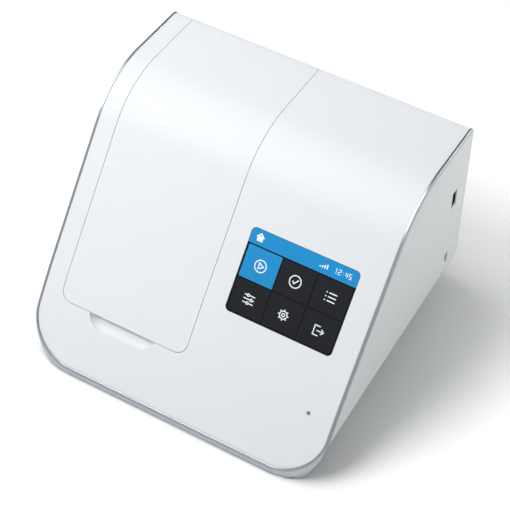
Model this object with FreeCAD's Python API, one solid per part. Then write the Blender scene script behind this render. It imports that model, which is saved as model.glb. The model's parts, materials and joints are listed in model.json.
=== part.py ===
# Bench-top rapid test reader: a sloped case whose front cover wraps over the top, a hinged lid over
# a heated test well on the left, and a touch display on the right. Lengths are in millimetres.
# X runs to the right, Y to the back and Z up. The origin is on the table, under the case's middle.

import FreeCAD
import Part
import math
import os

os.makedirs("parts", exist_ok=True)

Vector = FreeCAD.Vector

# Case: overall size and the line of its front cover, seen from the side
case_width = 207.0
case_depth = 194.0
case_height = 145.0
toe_height = 5.5             # lower edge of the cover above the table
toe_angle = 58.2             # steepness of the cover at its lower edge, degrees
slope_angle = 48.85          # steepness of the flat slope, degrees
top_fall_angle = 3.9         # fall of the top towards the back, degrees
toe_radius = 393.0           # easing between the lower edge and the flat slope
bend_radius = 54.0           # bend between the slope and the top
back_radius = 8.0            # rounding between the top and the back, round the lid's hinge
side_edge_height = 26.7      # lower edge of the side walls above the table
lip_height = 0.8             # front lip above the table
cover_thickness = 3.0
wall_thickness = 2.8
trim_side_width = 1.3        # along the two sides
trim_front_width = 2.5       # across the front lip, along the cover's line
trim_proud = 0.4
trim_end_angle = 35.0        # how far the trim turns down round the back, degrees
corner_radius = 32.5         # lower front corners, measured along the front
chin_reach = 3.6             # how far the chin laps up behind the cover, in height
chin_margin = 2.0            # the chin stands back under the trim
seat_gap = 0.2               # between fixed pieces that follow one curved line
overrun = 60.0               # how far a cut runs past what it cuts

# Lid and its opening
lid_side_margin = 14.0       # from the case's left side to the lid
lid_width = 90.0
lid_run = 41.0               # lower edge of the lid, along the cover from the cover's lower edge
lid_corner_radius = 7.5
lid_seam = 0.35
lid_ledge_gap = 0.6          # under the closed lid
lid_wrap_angle = 17.0        # how far the lid's barrel reaches below the hinge, degrees
barrel_clearance = 0.4
trough_thickness = 2.0
trough_end_angle = 122.0
ledge_thickness = 2.2
ledge_inward = 4.6
ledge_outward = 4.0
ledge_lower_width = 17.0
ledge_back_gap = 9.0         # from the hinge line to the end of the ledge

# Finger scoop under the lid's lower edge
scoop_width = 48.0
scoop_offset = 0.5           # to the right of the lid's middle
scoop_height = 24.0
scoop_below_lid = 12.0
scoop_tilt = 30.0            # slant of its floor against the cover, degrees
scoop_floor_radius = 7.0
scoop_wall = 1.8
scoop_block = 20.0

# Lid liner, magnets, bumpers and hinge
liner_gap = 0.15
liner_thickness = 1.75
liner_margin = 5.6
liner_lower_margin = 17.6
liner_back_gap = 13.0
liner_corner_radius = 6.0
lid_screw_inset = 6.0
lid_screw_run_shares = (0.13, 0.85)   # of the flat slope's length
lid_screw_radius = 0.8
lid_screw_head_radius = 1.8
lid_screw_head_height = 0.9
lid_screw_bite = 1.8
magnet_radius = 2.9
magnet_thickness = 1.7
magnet_inset_x = 11.0
magnet_inset_run = 9.0
catch_radius = 3.2
catch_thickness = 1.2
bumper_radius = 2.0
bumper_height = 1.1
bumper_proud = 0.3
bumper_run = 60.0
pocket_clearance = 0.1
pin_radius = 1.5
pin_clearance = 0.05
knuckle_radius = 3.8
knuckle_length = 9.0
knuckle_inset = 6.5          # from the lid's side edge to its knuckle
knuckle_gap = 0.4
knuckle_fill_angle = 10.0
bracket_length = 7.6
bracket_bar_drop = 3.8
bracket_foot_depth = 7.0
bracket_foot_gap = 8.6       # from the hinge line forward to the bracket's foot

# Test well
well_wall = 2.5
well_floor = 62.0
well_shelf = 88.0
well_front_gap = 52.0        # from the case's front to the well
well_back_gap = 20.6         # from the well to the hinge line
well_step_share = 0.416      # the front step's part of the well's depth
well_inset = 6.0             # depth of its rim under the cover's line
rim_thickness = 2.5
rim_run = 15.0               # from the lid's lower edge up to the rim's lower edge
hinge_shelf_drop = 7.6       # hinge shelf under the hinge line
hinge_shelf_gap = 0.5

# Holders
base_holder_width = 58.0
base_holder_height = 7.0
base_holder_front_gap = 8.0
base_holder_back_gap = 5.0
base_pocket_side = 7.5       # from the pocket to the holder's side
base_pocket_end = 6.0
receiver_holder_width = 54.0
receiver_holder_height = 16.0
receiver_holder_front_gap = 10.0
receiver_holder_back_gap = 12.0
receiver_pocket_side = 8.0
receiver_pocket_end = 7.5
holder_floor = 1.6
holder_corner_radius = 5.0
holder_rim = 1.2
holder_rim_height = 1.5

# Heaters under the holders
heater_margin = 6.0          # around the pocket above it
heater_thickness = 5.5
heater_pad_inset = 3.0       # the pad stands back from the pocket's edge
heater_pad_clearance = 0.4
heater_gap = 0.3
heater_film_thickness = 0.4
insulation_thickness = 4.0
insulation_gap = 0.2
heater_screw_radius = 1.2
heater_screw_head_radius = 2.2
heater_screw_head_height = 1.4
heater_screw_inset = 4.0
sensor_radius = 1.4
sensor_length = 9.0

# Optics under the front heater
optics_width = 42.0
optics_depth = 30.0
optics_height = 25.0
optics_post_length = 12.2
optics_post_radius = 3.2
optics_post_gap = 0.6        # between a post and the heater beside it
optics_ear_thickness = 3.5
optics_screw_radius = 1.25
optics_screw_head_radius = 2.4
optics_screw_head_height = 1.6
optics_screw_length = 9.0
channel_pitch = 16.0
channel_radius = 3.2
channel_floor = 3.0
light_hole_radius = 2.5
lens_height = 3.0
lens_drop = 1.5
filter_thickness = 1.4
filter_drop = 14.0
optic_clearance = 0.08
led_radius = 2.5
led_length = 4.5
led_drop = 10.0
photodiode_side = 3.6
photodiode_height = 2.0
board_thickness = 1.6
optics_board_margin = 3.0

# Display on the flat slope
display_side_margin = 16.6   # from the display to the case's right side
display_lid_gap = 14.65      # from the lid to the display
display_height = 53.4
display_low_share = 0.3797   # how much of the free slope lies below the display
display_corner_radius = 3.0
display_seam = 0.15
glass_thickness = 1.2
glass_recess = 0.3
gasket_width = 1.2
gasket_slack = 0.1
lcd_side_lap = 2.0
lcd_end_lap = 2.5
lcd_thickness = 3.2
frame_thickness = 1.5
frame_rail = 9.0
display_boss_offset = 6.5
display_boss_radius = 3.0
display_screw_radius = 1.1
display_screw_head_radius = 2.2
display_screw_head_height = 1.4
display_screw_length = 5.2
bore_clearance = 0.05
ribbon_thickness = 0.4
display_ribbon_share = 0.307  # of the display's width

# Status light at the lower right of the cover
status_run = 42.2
status_side_margin = 17.3
status_radius = 1.15
status_clearance = 0.1
status_flange_radius = 2.2
status_flange_thickness = 0.9
status_board_width = 14.0
status_board_depth = 9.0
status_board_gap = 3.4
status_led_side = 2.0
status_led_height = 1.2
status_post_radius = 1.5

# Base tray, plinth and feet
plinth_inset = 14.0
plinth_front_gap = 27.0      # from the case's front to the plinth
plinth_floor_height = 3.0
plinth_wall = 2.5
plinth_corner_radius = 8.0
tray_rise = 0.8              # the tray's flange above the side walls' lower edge
tray_flange = 2.5
tray_gap = 0.3
foot_radius = 7.0
foot_inset = 13.0
foot_peg_radius = 2.4
foot_peg_clearance = 0.1
base_boss_radius = 3.6
base_boss_height = 12.0
base_boss_gap = 4.2          # from the wall to the boss's middle
base_boss_front_gap = 49.0
base_boss_back_gap = 34.6
base_screw_radius = 1.5
base_screw_head_radius = 2.8
base_screw_head_height = 1.8
base_screw_length = 11.0
cover_post_side_gap = 3.6    # from the side wall to the post's middle
cover_post_front_gap = 39.5
cover_post_radius = 3.2

# Main board and what it carries
main_board_side_gap = 7.0    # from the plinth's left wall to the board
main_board_front_gap = 7.5
main_board_back_gap = 12.1
speaker_bay = 31.0           # right of the board, inside the plinth
board_post_height = 6.5
board_post_radius = 3.0
board_hole_inset = 5.0
board_screw_radius = 1.25
board_screw_head_radius = 2.5
board_screw_head_height = 1.6
board_screw_length = 6.0
# Places of the chips as shares of the board's width and depth
chip_place_shares = ((0.66, 0.31), (0.85, 0.30), (0.68, 0.58), (0.87, 0.59), (0.44, 0.81), (0.74, 0.84))
chip_sides = (17.0, 12.0, 14.0, 9.0, 10.0, 8.0)
chip_height = 1.5
header_length = 16.0
header_depth = 5.0
header_height = 5.0
cell_radius = 10.0
cell_height = 3.2
cell_inset_x = 22.0          # from the board's left and back edges
cell_inset_y = 18.0
cell_cup_wall = 1.2
cell_cup_floor = 0.8
speaker_radius = 10.0
speaker_height = 5.0
speaker_side_gap = 3.0
speaker_front_gap = 17.5
grille_slot_width = 1.2
grille_slot_length = 11.0
grille_slot_pitch = 3.2
grille_slot_count = 5

# Back panel: sockets, power button and vents
io_board_side_gap = 8.7      # from the right side wall to the board
io_board_width = 125.0
io_board_low = 34.0
io_board_high = 62.0
io_board_gap = 8.2           # from the back wall to the board
io_boss_radius = 3.0
io_boss_inset = 4.0
socket_height = 48.0         # middle of the sockets above the table
socket_recess = 0.4
socket_clearance = 0.3
usb_long = 13.1
usb_short = 5.7
usb_shell = 0.35
usb_depth = 9.0
usb_tongue_long = 11.0
usb_tongue_short = 1.8
usb_tongue_recess = 1.0
# Places along the socket board, as shares of its width
rear_usb_shares = (0.712, 0.872)
network_share = 0.536
power_share = 0.344
button_share = 0.136
network_width = 16.0
network_height = 13.6
network_port_width = 11.8
network_port_height = 8.2
network_port_depth = 9.5
network_notch_width = 4.4
network_notch_height = 2.0
network_pin_radius = 0.25
network_pin_count = 8
network_pin_pitch = 1.02
power_body_width = 9.6
power_body_height = 11.0
power_nose_radius = 4.0
power_bore_radius = 3.0
power_bore_depth = 8.6
power_pin_radius = 1.0
power_pin_recess = 1.0
vent_side_gap = 22.5
vent_top_gap = 21.0          # from the wall's top to the slots
vent_slot_width = 2.0
vent_slot_height = 26.0
vent_slot_pitch = 5.0
vent_slot_count = 14

# Power button on the back
button_radius = 6.0
button_clearance = 0.3
button_proud = 0.1
button_travel = 1.5
button_flange_radius = 7.4
button_flange_thickness = 1.4
button_dish = 0.8
button_stem_radius = 1.6
switch_side = 12.0
switch_depth = 3.6
switch_bore_depth = 3.2
stem_clearance = 0.08

# Socket and lock slot in the right side
side_usb_back_gap = 18.8
side_usb_height = 94.0
side_board_gap = 11.6
side_board_depth = 22.0
side_board_height = 26.0
side_boss_radius = 2.6
side_boss_inset = 3.6
lock_back_gap = 19.8
lock_height = 40.4
lock_slot_height = 8.0
lock_slot_width = 3.8
lock_plate_height = 16.0
lock_plate_width = 10.0
lock_plate_thickness = 1.5
lock_peg_radius = 1.0


def sine(angle):
    return math.sin(math.radians(angle))


def cosine(angle):
    return math.cos(math.radians(angle))


half_width = case_width / 2
front_y = -case_depth / 2
back_face = case_depth / 2 - trim_proud
skin_top = case_height - trim_proud
toe_y = front_y + trim_front_width * cosine(toe_angle)
toe_turn = toe_angle - slope_angle
toe_arc = toe_radius * math.radians(toe_turn)
inner_x = half_width - wall_thickness
tray_low = side_edge_height + tray_rise
tray_top = tray_low + tray_flange
back_inner = back_face - wall_thickness
toe_tail = 2 * corner_radius

lid_left = lid_side_margin - half_width
lid_right = lid_left + lid_width
scoop_centre_x = lid_left + lid_width / 2 + scoop_offset
display_left = lid_right + display_lid_gap
display_right = half_width - display_side_margin
display_width = display_right - display_left
status_x = half_width - status_side_margin
cover_post_x = inner_x - cover_post_side_gap
cover_post_y = front_y + cover_post_front_gap
base_boss_first = front_y + base_boss_front_gap
base_boss_last = back_face - base_boss_back_gap
base_boss_places = (base_boss_first, (base_boss_first + base_boss_last) / 2, base_boss_last)

plinth_half = half_width - plinth_inset
plinth_front_y = front_y + plinth_front_gap
plinth_back = back_face - plinth_inset
main_board_left = main_board_side_gap + plinth_wall - plinth_half
main_board_right = plinth_half - plinth_wall - speaker_bay
main_board_front = plinth_front_y + plinth_wall + main_board_front_gap
main_board_back = plinth_back - plinth_wall - main_board_back_gap
main_board_width = main_board_right - main_board_left
main_board_depth = main_board_back - main_board_front
cell_x = main_board_left + cell_inset_x
cell_y = main_board_back - cell_inset_y
speaker_x = plinth_half - plinth_wall - speaker_side_gap - speaker_radius
speaker_y = plinth_front_y + plinth_wall + speaker_front_gap + speaker_radius

io_board_right = inner_x - io_board_side_gap
io_board_left = io_board_right - io_board_width
rear_usb_places = [io_board_left + share * io_board_width for share in rear_usb_shares]
network_x = io_board_left + network_share * io_board_width
power_x = io_board_left + power_share * io_board_width
button_x = io_board_left + button_share * io_board_width
vent_left = half_width - vent_side_gap - (vent_slot_count - 1) * vent_slot_pitch - vent_slot_width
side_usb_y = back_face - side_usb_back_gap
lock_y = back_face - lock_back_gap


# Block between two corners.
def box(x0, x1, y0, y1, z0, z1):
    return Part.makeBox(x1 - x0, y1 - y0, z1 - z0, Vector(x0, y0, z0))


# Round bar between two points.
def rod(radius, start, end):
    line = end - start
    return Part.makeCylinder(radius, line.Length, start, line)


# Flat face with rounded corners at one height.
def rounded_face(x0, x1, y0, y1, radius, z):
    k = radius * (1 - math.sqrt(0.5))
    corners = []
    corners.append((Vector(x0 + radius, y0, z), Vector(x1 - radius, y0, z)))
    corners.append((Vector(x1, y0 + radius, z), Vector(x1, y1 - radius, z)))
    corners.append((Vector(x1 - radius, y1, z), Vector(x0 + radius, y1, z)))
    corners.append((Vector(x0, y1 - radius, z), Vector(x0, y0 + radius, z)))
    middles = [Vector(x1 - k, y0 + k, z), Vector(x1 - k, y1 - k, z)]
    middles += [Vector(x0 + k, y1 - k, z), Vector(x0 + k, y0 + k, z)]
    edges = []
    for i in range(4):
        edges.append(Part.makeLine(corners[i][0], corners[i][1]))
        edges.append(Part.Arc(corners[i][1], middles[i], corners[(i + 1) % 4][0]).toShape())
    return Part.Face(Part.Wire(edges))


# Upright block with rounded corners.
def rounded_box(x0, x1, y0, y1, z0, z1, radius):
    return rounded_face(x0, x1, y0, y1, radius, z0).extrude(Vector(0, 0, z1 - z0))


# Block from a side outline of (y, z) points.
def side_block(points, x0, x1):
    corners = [Vector(x0, y, z) for y, z in points]
    return Part.Face(Part.makePolygon(corners + corners[:1])).extrude(Vector(x1 - x0, 0, 0))


# Point of a side circle where its tangent climbs at the given angle.
def arc_point(centre, radius, angle):
    return Vector(0, centre.y - radius * sine(angle), centre.z + radius * cosine(angle))


# Arc of a side circle between two tangent angles.
def side_arc(centre, radius, angle0, angle1):
    middle = arc_point(centre, radius, (angle0 + angle1) / 2)
    return Part.Arc(arc_point(centre, radius, angle0), middle, arc_point(centre, radius, angle1)).toShape()


toe_centre = Vector(0, toe_y + toe_radius * sine(toe_angle), toe_height - toe_radius * cosine(toe_angle))
slope_start = arc_point(toe_centre, toe_radius, slope_angle)
bend_rise = skin_top - bend_radius * (1 - cosine(slope_angle)) - slope_start.z
slope_length = bend_rise / sine(slope_angle)
slope_end_y = slope_start.y + slope_length * cosine(slope_angle)
bend_centre = Vector(0, slope_end_y + bend_radius * sine(slope_angle), skin_top - bend_radius)
hinge_y = back_face - back_radius
hinge_fall = bend_radius - back_radius - (hinge_y - bend_centre.y) * sine(top_fall_angle)
hinge_z = bend_centre.z + hinge_fall / cosine(top_fall_angle)
hinge_centre = Vector(0, hinge_y, hinge_z)
skin_end_z = hinge_z - back_radius * sine(lid_wrap_angle)
display_low = (slope_length - display_height) * display_low_share
display_high = display_low + display_height
well_front_y = front_y + well_front_gap
well_back_y = hinge_y - well_back_gap
well_shelf_y = well_front_y + well_step_share * (well_back_y - well_front_y)


# The cover's side line, moved inwards. It ends on the top, on the back face, or curled round the hinge.
def skin_edges(inset, end):
    toe = arc_point(toe_centre, toe_radius - inset, toe_angle)
    tail = toe - Vector(0, cosine(toe_angle), sine(toe_angle)) * toe_tail
    low = arc_point(toe_centre, toe_radius - inset, slope_angle)
    high = arc_point(bend_centre, bend_radius - inset, slope_angle)
    top = arc_point(bend_centre, bend_radius - inset, -top_fall_angle)
    rear = arc_point(hinge_centre, back_radius - inset, -top_fall_angle)
    edges = [Part.makeLine(tail, toe)]
    edges.append(side_arc(toe_centre, toe_radius - inset, toe_angle, slope_angle))
    edges.append(Part.makeLine(low, high))
    edges.append(side_arc(bend_centre, bend_radius - inset, slope_angle, -top_fall_angle))
    edges.append(Part.makeLine(top, rear))
    last = rear
    if end == "curl":
        edges.append(side_arc(hinge_centre, back_radius - inset, -top_fall_angle, -90 - lid_wrap_angle))
        last = arc_point(hinge_centre, back_radius - inset, -90 - lid_wrap_angle)
    if end == "back":
        edges.append(side_arc(hinge_centre, back_radius - inset, -top_fall_angle, -90))
        last = Vector(0, back_face - inset, skin_end_z)
        edges.append(Part.makeLine(arc_point(hinge_centre, back_radius - inset, -90), last))
    return edges, tail, last


def extruded(edges, x0, x1):
    face = Part.Face(Part.Wire(Part.__sortEdges__(edges)))
    face.translate(Vector(x0, 0, 0))
    return face.extrude(Vector(x1 - x0, 0, 0))


# Curved sheet between two depths under the cover's line.
def slab(outer, inner, x0, x1, end):
    outer_edges, outer_tail, outer_last = skin_edges(outer, end)
    inner_edges, inner_tail, inner_last = skin_edges(inner, end)
    ends = [Part.makeLine(outer_tail, inner_tail), Part.makeLine(outer_last, inner_last)]
    return extruded(outer_edges + inner_edges + ends, x0, x1)


# Everything under the cover's line at one depth.
def under_skin(inset, x0, x1, end):
    edges, tail, last = skin_edges(inset, end)
    ground = tail.z - overrun
    corners = [last, Vector(0, last.y, ground), Vector(0, tail.y, ground), tail]
    edges += [Part.makeLine(corners[i], corners[i + 1]) for i in range(3)]
    return extruded(edges, x0, x1)


# Upright block with the case's plan: square at the back, rounded at the two front corners. The front
# margin is measured along the cover's line.
def plan_block(side_margin, front_margin, z0, z1):
    half = half_width - side_margin
    front = front_y + front_margin * cosine(toe_angle)
    far = back_face + overrun
    across = corner_radius - side_margin
    along = toe_radius * (sine(toe_angle) - sine(toe_angle - math.degrees(across / toe_radius)))
    right = Part.Ellipse(Vector(half - across, front + along, z0), across, along)
    left = Part.Ellipse(Vector(across - half, front + along, z0), across, along)
    edges = [Part.makeLine(Vector(-half, far, z0), Vector(-half, front + along, z0))]
    edges.append(Part.ArcOfEllipse(left, math.pi, 1.5 * math.pi).toShape())
    edges.append(Part.makeLine(Vector(across - half, front, z0), Vector(half - across, front, z0)))
    edges.append(Part.ArcOfEllipse(right, 1.5 * math.pi, 2 * math.pi).toShape())
    edges.append(Part.makeLine(Vector(half, front + along, z0), Vector(half, far, z0)))
    edges.append(Part.makeLine(Vector(half, far, z0), Vector(-half, far, z0)))
    return Part.Face(Part.Wire(edges)).extrude(Vector(0, 0, z1 - z0))


# Turns a shape drawn flat into the slope: its Y climbs the slope and its Z stands out of it.
def on_slope(shape):
    turn = FreeCAD.Rotation(Vector(1, 0, 0), slope_angle)
    placed = shape.copy()
    placed.Placement = FreeCAD.Placement(slope_start, turn).multiply(placed.Placement)
    return placed


# A distance along the cover from its lower edge, as a place up the slope.
def climb(run):
    return run - toe_arc


# Rounded block on the slope: sideways, up the slope, and out of it.
def slope_block(x0, x1, t0, t1, n0, n1, radius):
    return on_slope(rounded_box(x0, x1, t0, t1, n0, n1, radius))


def slope_rod(radius, x, t, n0, n1):
    return on_slope(rod(radius, Vector(x, t, n0), Vector(x, t, n1)))


# How far the easing below the flat slope falls away from the slope's plane.
def skin_drop(t):
    if t >= 0:
        return 0
    return toe_radius - math.sqrt(toe_radius ** 2 - t ** 2)


# Screw drawn with its head on top at a point, pointing down, with a six-sided recess.
def screw(radius, length, head_radius, head_height):
    shape = rod(head_radius, Vector(0, 0, 0), Vector(0, 0, head_height))
    shape = shape.fuse(rod(radius, Vector(0, 0, 0), Vector(0, 0, -length)))
    corners = []
    for i in range(7):
        turn = 60 * i
        corners.append(Vector(head_radius * cosine(turn) / 2, head_radius * sine(turn) / 2, head_height))
    recess = Part.Face(Part.makePolygon(corners)).extrude(Vector(0, 0, -head_height / 2))
    return shape.cut(recess)


# Places a shape drawn pointing along Z so that its Z runs along a direction.
def aimed(shape, place, direction):
    placed = shape.copy()
    placed.Placement = FreeCAD.Placement(place, FreeCAD.Rotation(Vector(0, 0, 1), direction))
    return placed


def joined(shapes):
    result = shapes[0]
    for shape in shapes[1:]:
        result = result.fuse(shape)
    return result.removeSplitter()


def without(shape, cutters):
    for cutter in cutters:
        shape = shape.cut(cutter)
    return shape


# Strip that follows side points (y, z), with a thickness, between two widths.
def ribbon(points, x0, x1):
    one_side = []
    other_side = []
    for i in range(len(points)):
        before = Vector(0, *points[max(i - 1, 0)])
        here = Vector(0, *points[i])
        after = Vector(0, *points[min(i + 1, len(points) - 1)])
        into = here - before if i > 0 else after - here
        out = after - here if i < len(points) - 1 else into
        into.normalize()
        out.normalize()
        mitre = into + out
        mitre.normalize()
        reach = ribbon_thickness / 2 / max(mitre.dot(into), 0.5)
        aside = Vector(0, -mitre.z, mitre.y) * reach
        one_side.append(here + aside)
        other_side.append(here - aside)
    outline = one_side + other_side[::-1]
    strip = Part.Face(Part.makePolygon(outline + outline[:1]))
    strip.translate(Vector(x0, 0, 0))
    return strip.extrude(Vector(x1 - x0, 0, 0))


def save(name, shape):
    solids = shape.Solids
    made = solids[0] if len(solids) == 1 else Part.makeCompound(solids)
    made.exportStep("parts/" + name + ".step")
    print(name, len(solids), "solids", round(made.Volume), "mm3", "valid" if made.isValid() else "NOT VALID")


# The lid's outline as a block through the case, grown by a gap all round.
def lid_block(gap):
    low = climb(lid_run) - gap
    high = climb(lid_run) + 4 * overrun
    radius = lid_corner_radius + gap
    return slope_block(lid_left - gap, lid_right + gap, low, high, -3 * overrun, overrun, radius)


# What lies behind the trim's two ends, with a gap before it.
def behind_trim(gap):
    start = 90 - trim_end_angle - math.degrees(gap / back_radius)
    return hinge_sector(pin_radius, back_radius + overrun, start, -start, -half_width, half_width)


# Trim ribbon round the cover: across the front, up both sides and over the top.
def make_trim():
    ribbon_sheet = slab(-trim_proud, cover_thickness, -half_width, half_width, "back")
    outer = plan_block(0, 0, lip_height, case_height + overrun)
    inner = plan_block(trim_side_width, trim_front_width, -overrun, case_height + overrun)
    return ribbon_sheet.common(outer).cut(inner).cut(behind_trim(0))


# The scoop's hollow, drawn with rounded ends and floor, tilted so that it deepens towards the lid.
def scoop_shape(grow):
    half = scoop_width / 2 + grow
    radius = scoop_height / 2 + grow - bore_clearance
    flat = rounded_box(-half, half, -grow, scoop_height + grow, -grow, scoop_block, radius)
    floor_edges = []
    for edge in flat.Edges:
        if edge.BoundBox.ZMax < bore_clearance - grow:
            floor_edges.append(edge)
    soft = flat.makeFillet(scoop_floor_radius + grow, floor_edges)
    low = climb(lid_run - scoop_below_lid)
    tilt = FreeCAD.Rotation(Vector(1, 0, 0), -scoop_tilt + math.degrees(-low / toe_radius))
    soft.Placement = FreeCAD.Placement(Vector(scoop_centre_x, low, -skin_drop(low)), tilt)
    return on_slope(soft)


# Places of the display's four screws, sideways and up the slope.
def display_corners():
    places = []
    for x in (display_left - display_boss_offset, display_right + display_boss_offset):
        for t in (display_low + display_boss_offset, display_high - display_boss_offset):
            places.append((x, t))
    return places


def status_place():
    t = climb(status_run)
    return t, -skin_drop(t)


magnet_places = [(lid_left + magnet_inset_x, climb(lid_run) + magnet_inset_run)]
magnet_places.append((lid_right - magnet_inset_x, climb(lid_run) + magnet_inset_run))
bumper_places = [(lid_left + ledge_inward / 2, climb(lid_run + bumper_run))]
bumper_places.append((lid_right - ledge_inward / 2, climb(lid_run + bumper_run)))
ledge_top = cover_thickness + lid_ledge_gap
ledge_bottom = ledge_top + ledge_thickness


# Cover: the white sheet with its lid opening, ledge, finger scoop, display window and bosses.
def make_cover():
    sheet = slab(0, cover_thickness, -half_width, half_width, "back")
    sheet = sheet.common(plan_block(trim_side_width + seat_gap / 2, trim_front_width + seat_gap / 2,
                                    lip_height + seat_gap, case_height + overrun))
    low = climb(lid_run)
    ledge = slab(cover_thickness / 2, ledge_bottom, lid_left - ledge_outward, lid_right + ledge_outward,
                 "top")
    ledge_far = low + 4 * overrun
    ledge = ledge.common(slope_block(lid_left - ledge_outward, lid_right + ledge_outward,
                                     low - ledge_outward, ledge_far, -3 * overrun, overrun,
                                     lid_corner_radius))
    ledge = ledge.cut(slope_block(lid_left + ledge_inward, lid_right - ledge_inward,
                                  low + ledge_lower_width, ledge_far, -3 * overrun, overrun,
                                  lid_corner_radius))
    back_end = hinge_y - ledge_back_gap
    ledge = ledge.common(box(-half_width, half_width, front_y, back_end, 0, case_height))
    cup = scoop_shape(scoop_wall).common(under_skin(cover_thickness / 2, -half_width, half_width, "top"))
    cover = joined([sheet, ledge, cup])
    lid_room = slab(-cover_thickness, ledge_top, lid_left - lid_seam, lid_right + lid_seam, "curl")
    cover = cover.cut(lid_room.common(lid_block(lid_seam)))
    cover = cover.cut(hinge_rod(back_radius + barrel_clearance, lid_left - lid_seam, lid_right + lid_seam))
    cover = cover.cut(scoop_shape(0))
    cover = cover.cut(slope_block(display_left - display_seam, display_right + display_seam,
                                  display_low - display_seam, display_high + display_seam,
                                  -overrun, overrun, display_corner_radius + display_seam))
    lcd_back = cover_thickness + seat_gap + lcd_thickness
    for x, t in display_corners():
        cover = cover.fuse(slope_rod(display_boss_radius, x, t, -lcd_back - seat_gap, -cover_thickness / 2))
    for x, t in display_corners():
        bore = slope_rod(display_screw_radius + bore_clearance, x, t, -overrun, -cover_thickness / 2)
        cover = cover.cut(bore)
    t, n = status_place()
    board_top = n - cover_thickness - status_board_gap
    for side in (-1, 1):
        x = status_x + side * (status_board_width / 2 - status_post_radius)
        cover = cover.fuse(slope_rod(status_post_radius, x, t, board_top, n - cover_thickness / 2))
    cover = cover.cut(slope_rod(status_radius + status_clearance, status_x, t,
                                n - cover_thickness - status_radius, n + cover_thickness))
    inside = under_skin(cover_thickness / 2, -half_width, half_width, "top")
    for side in (-1, 1):
        foot = Vector(side * cover_post_x, cover_post_y, tray_top + seat_gap)
        cover = cover.fuse(rod(cover_post_radius, foot, foot + Vector(0, 0, overrun)).common(inside))
        tip = foot + Vector(0, 0, base_boss_height)
        cover = cover.cut(rod(base_screw_radius + bore_clearance, foot, tip))
    for x, t in magnet_places:
        floor = -skin_drop(t) - ledge_top - catch_thickness
        cover = cover.cut(slope_rod(catch_radius + pocket_clearance, x, t, floor, floor + catch_radius))
    for x, t in bumper_places:
        floor = -ledge_top + bumper_proud - bumper_height
        cover = cover.cut(slope_rod(bumper_radius + pocket_clearance, x, t, floor, floor + bumper_height))
    return cover.removeSplitter()


# Ring sector round the hinge line, between two radii and two angles below the horizontal.
def hinge_sector(radius0, radius1, angle0, angle1, x0, x1):
    start0 = arc_point(hinge_centre, radius0, angle0 - 90)
    start1 = arc_point(hinge_centre, radius1, angle0 - 90)
    end0 = arc_point(hinge_centre, radius0, angle1 - 90)
    end1 = arc_point(hinge_centre, radius1, angle1 - 90)
    edges = [side_arc(hinge_centre, radius0, angle0 - 90, angle1 - 90), Part.makeLine(end0, end1)]
    edges += [side_arc(hinge_centre, radius1, angle1 - 90, angle0 - 90), Part.makeLine(start1, start0)]
    return extruded(edges, x0, x1)


def hinge_rod(radius, x0, x1):
    return rod(radius, Vector(x0, hinge_y, hinge_z), Vector(x1, hinge_y, hinge_z))


wall_top = skin_end_z - seat_gap
vent_low = wall_top - vent_top_gap - vent_slot_height
io_board_back = back_inner - io_board_gap
io_corners = []
for x in (io_board_left + io_boss_inset, io_board_right - io_boss_inset):
    for z in (io_board_low + io_boss_inset, io_board_high - io_boss_inset):
        io_corners.append((x, z))
side_board_out = inner_x - side_board_gap
side_corners = []
for side in (-1, 1):
    reach_y = side * (side_board_depth / 2 - side_boss_inset)
    reach_z = side * (side_board_height / 2 - side_boss_inset)
    side_corners.append((side_usb_y + reach_y, side_usb_height + reach_z))
base_boss_x = inner_x - base_boss_gap


# Slot with round ends through the right wall or a plate on it.
def lock_slot(x0, x1, grow):
    half = lock_slot_height / 2 + grow
    radius = lock_slot_width / 2 + grow
    low = lock_height - half + radius
    high = lock_height + half - radius
    slot = box(x0, x1, lock_y - radius, lock_y + radius, low, high)
    for z in (low, high):
        slot = slot.fuse(rod(radius, Vector(x0, lock_y, z), Vector(x1, lock_y, z)))
    return slot


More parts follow.
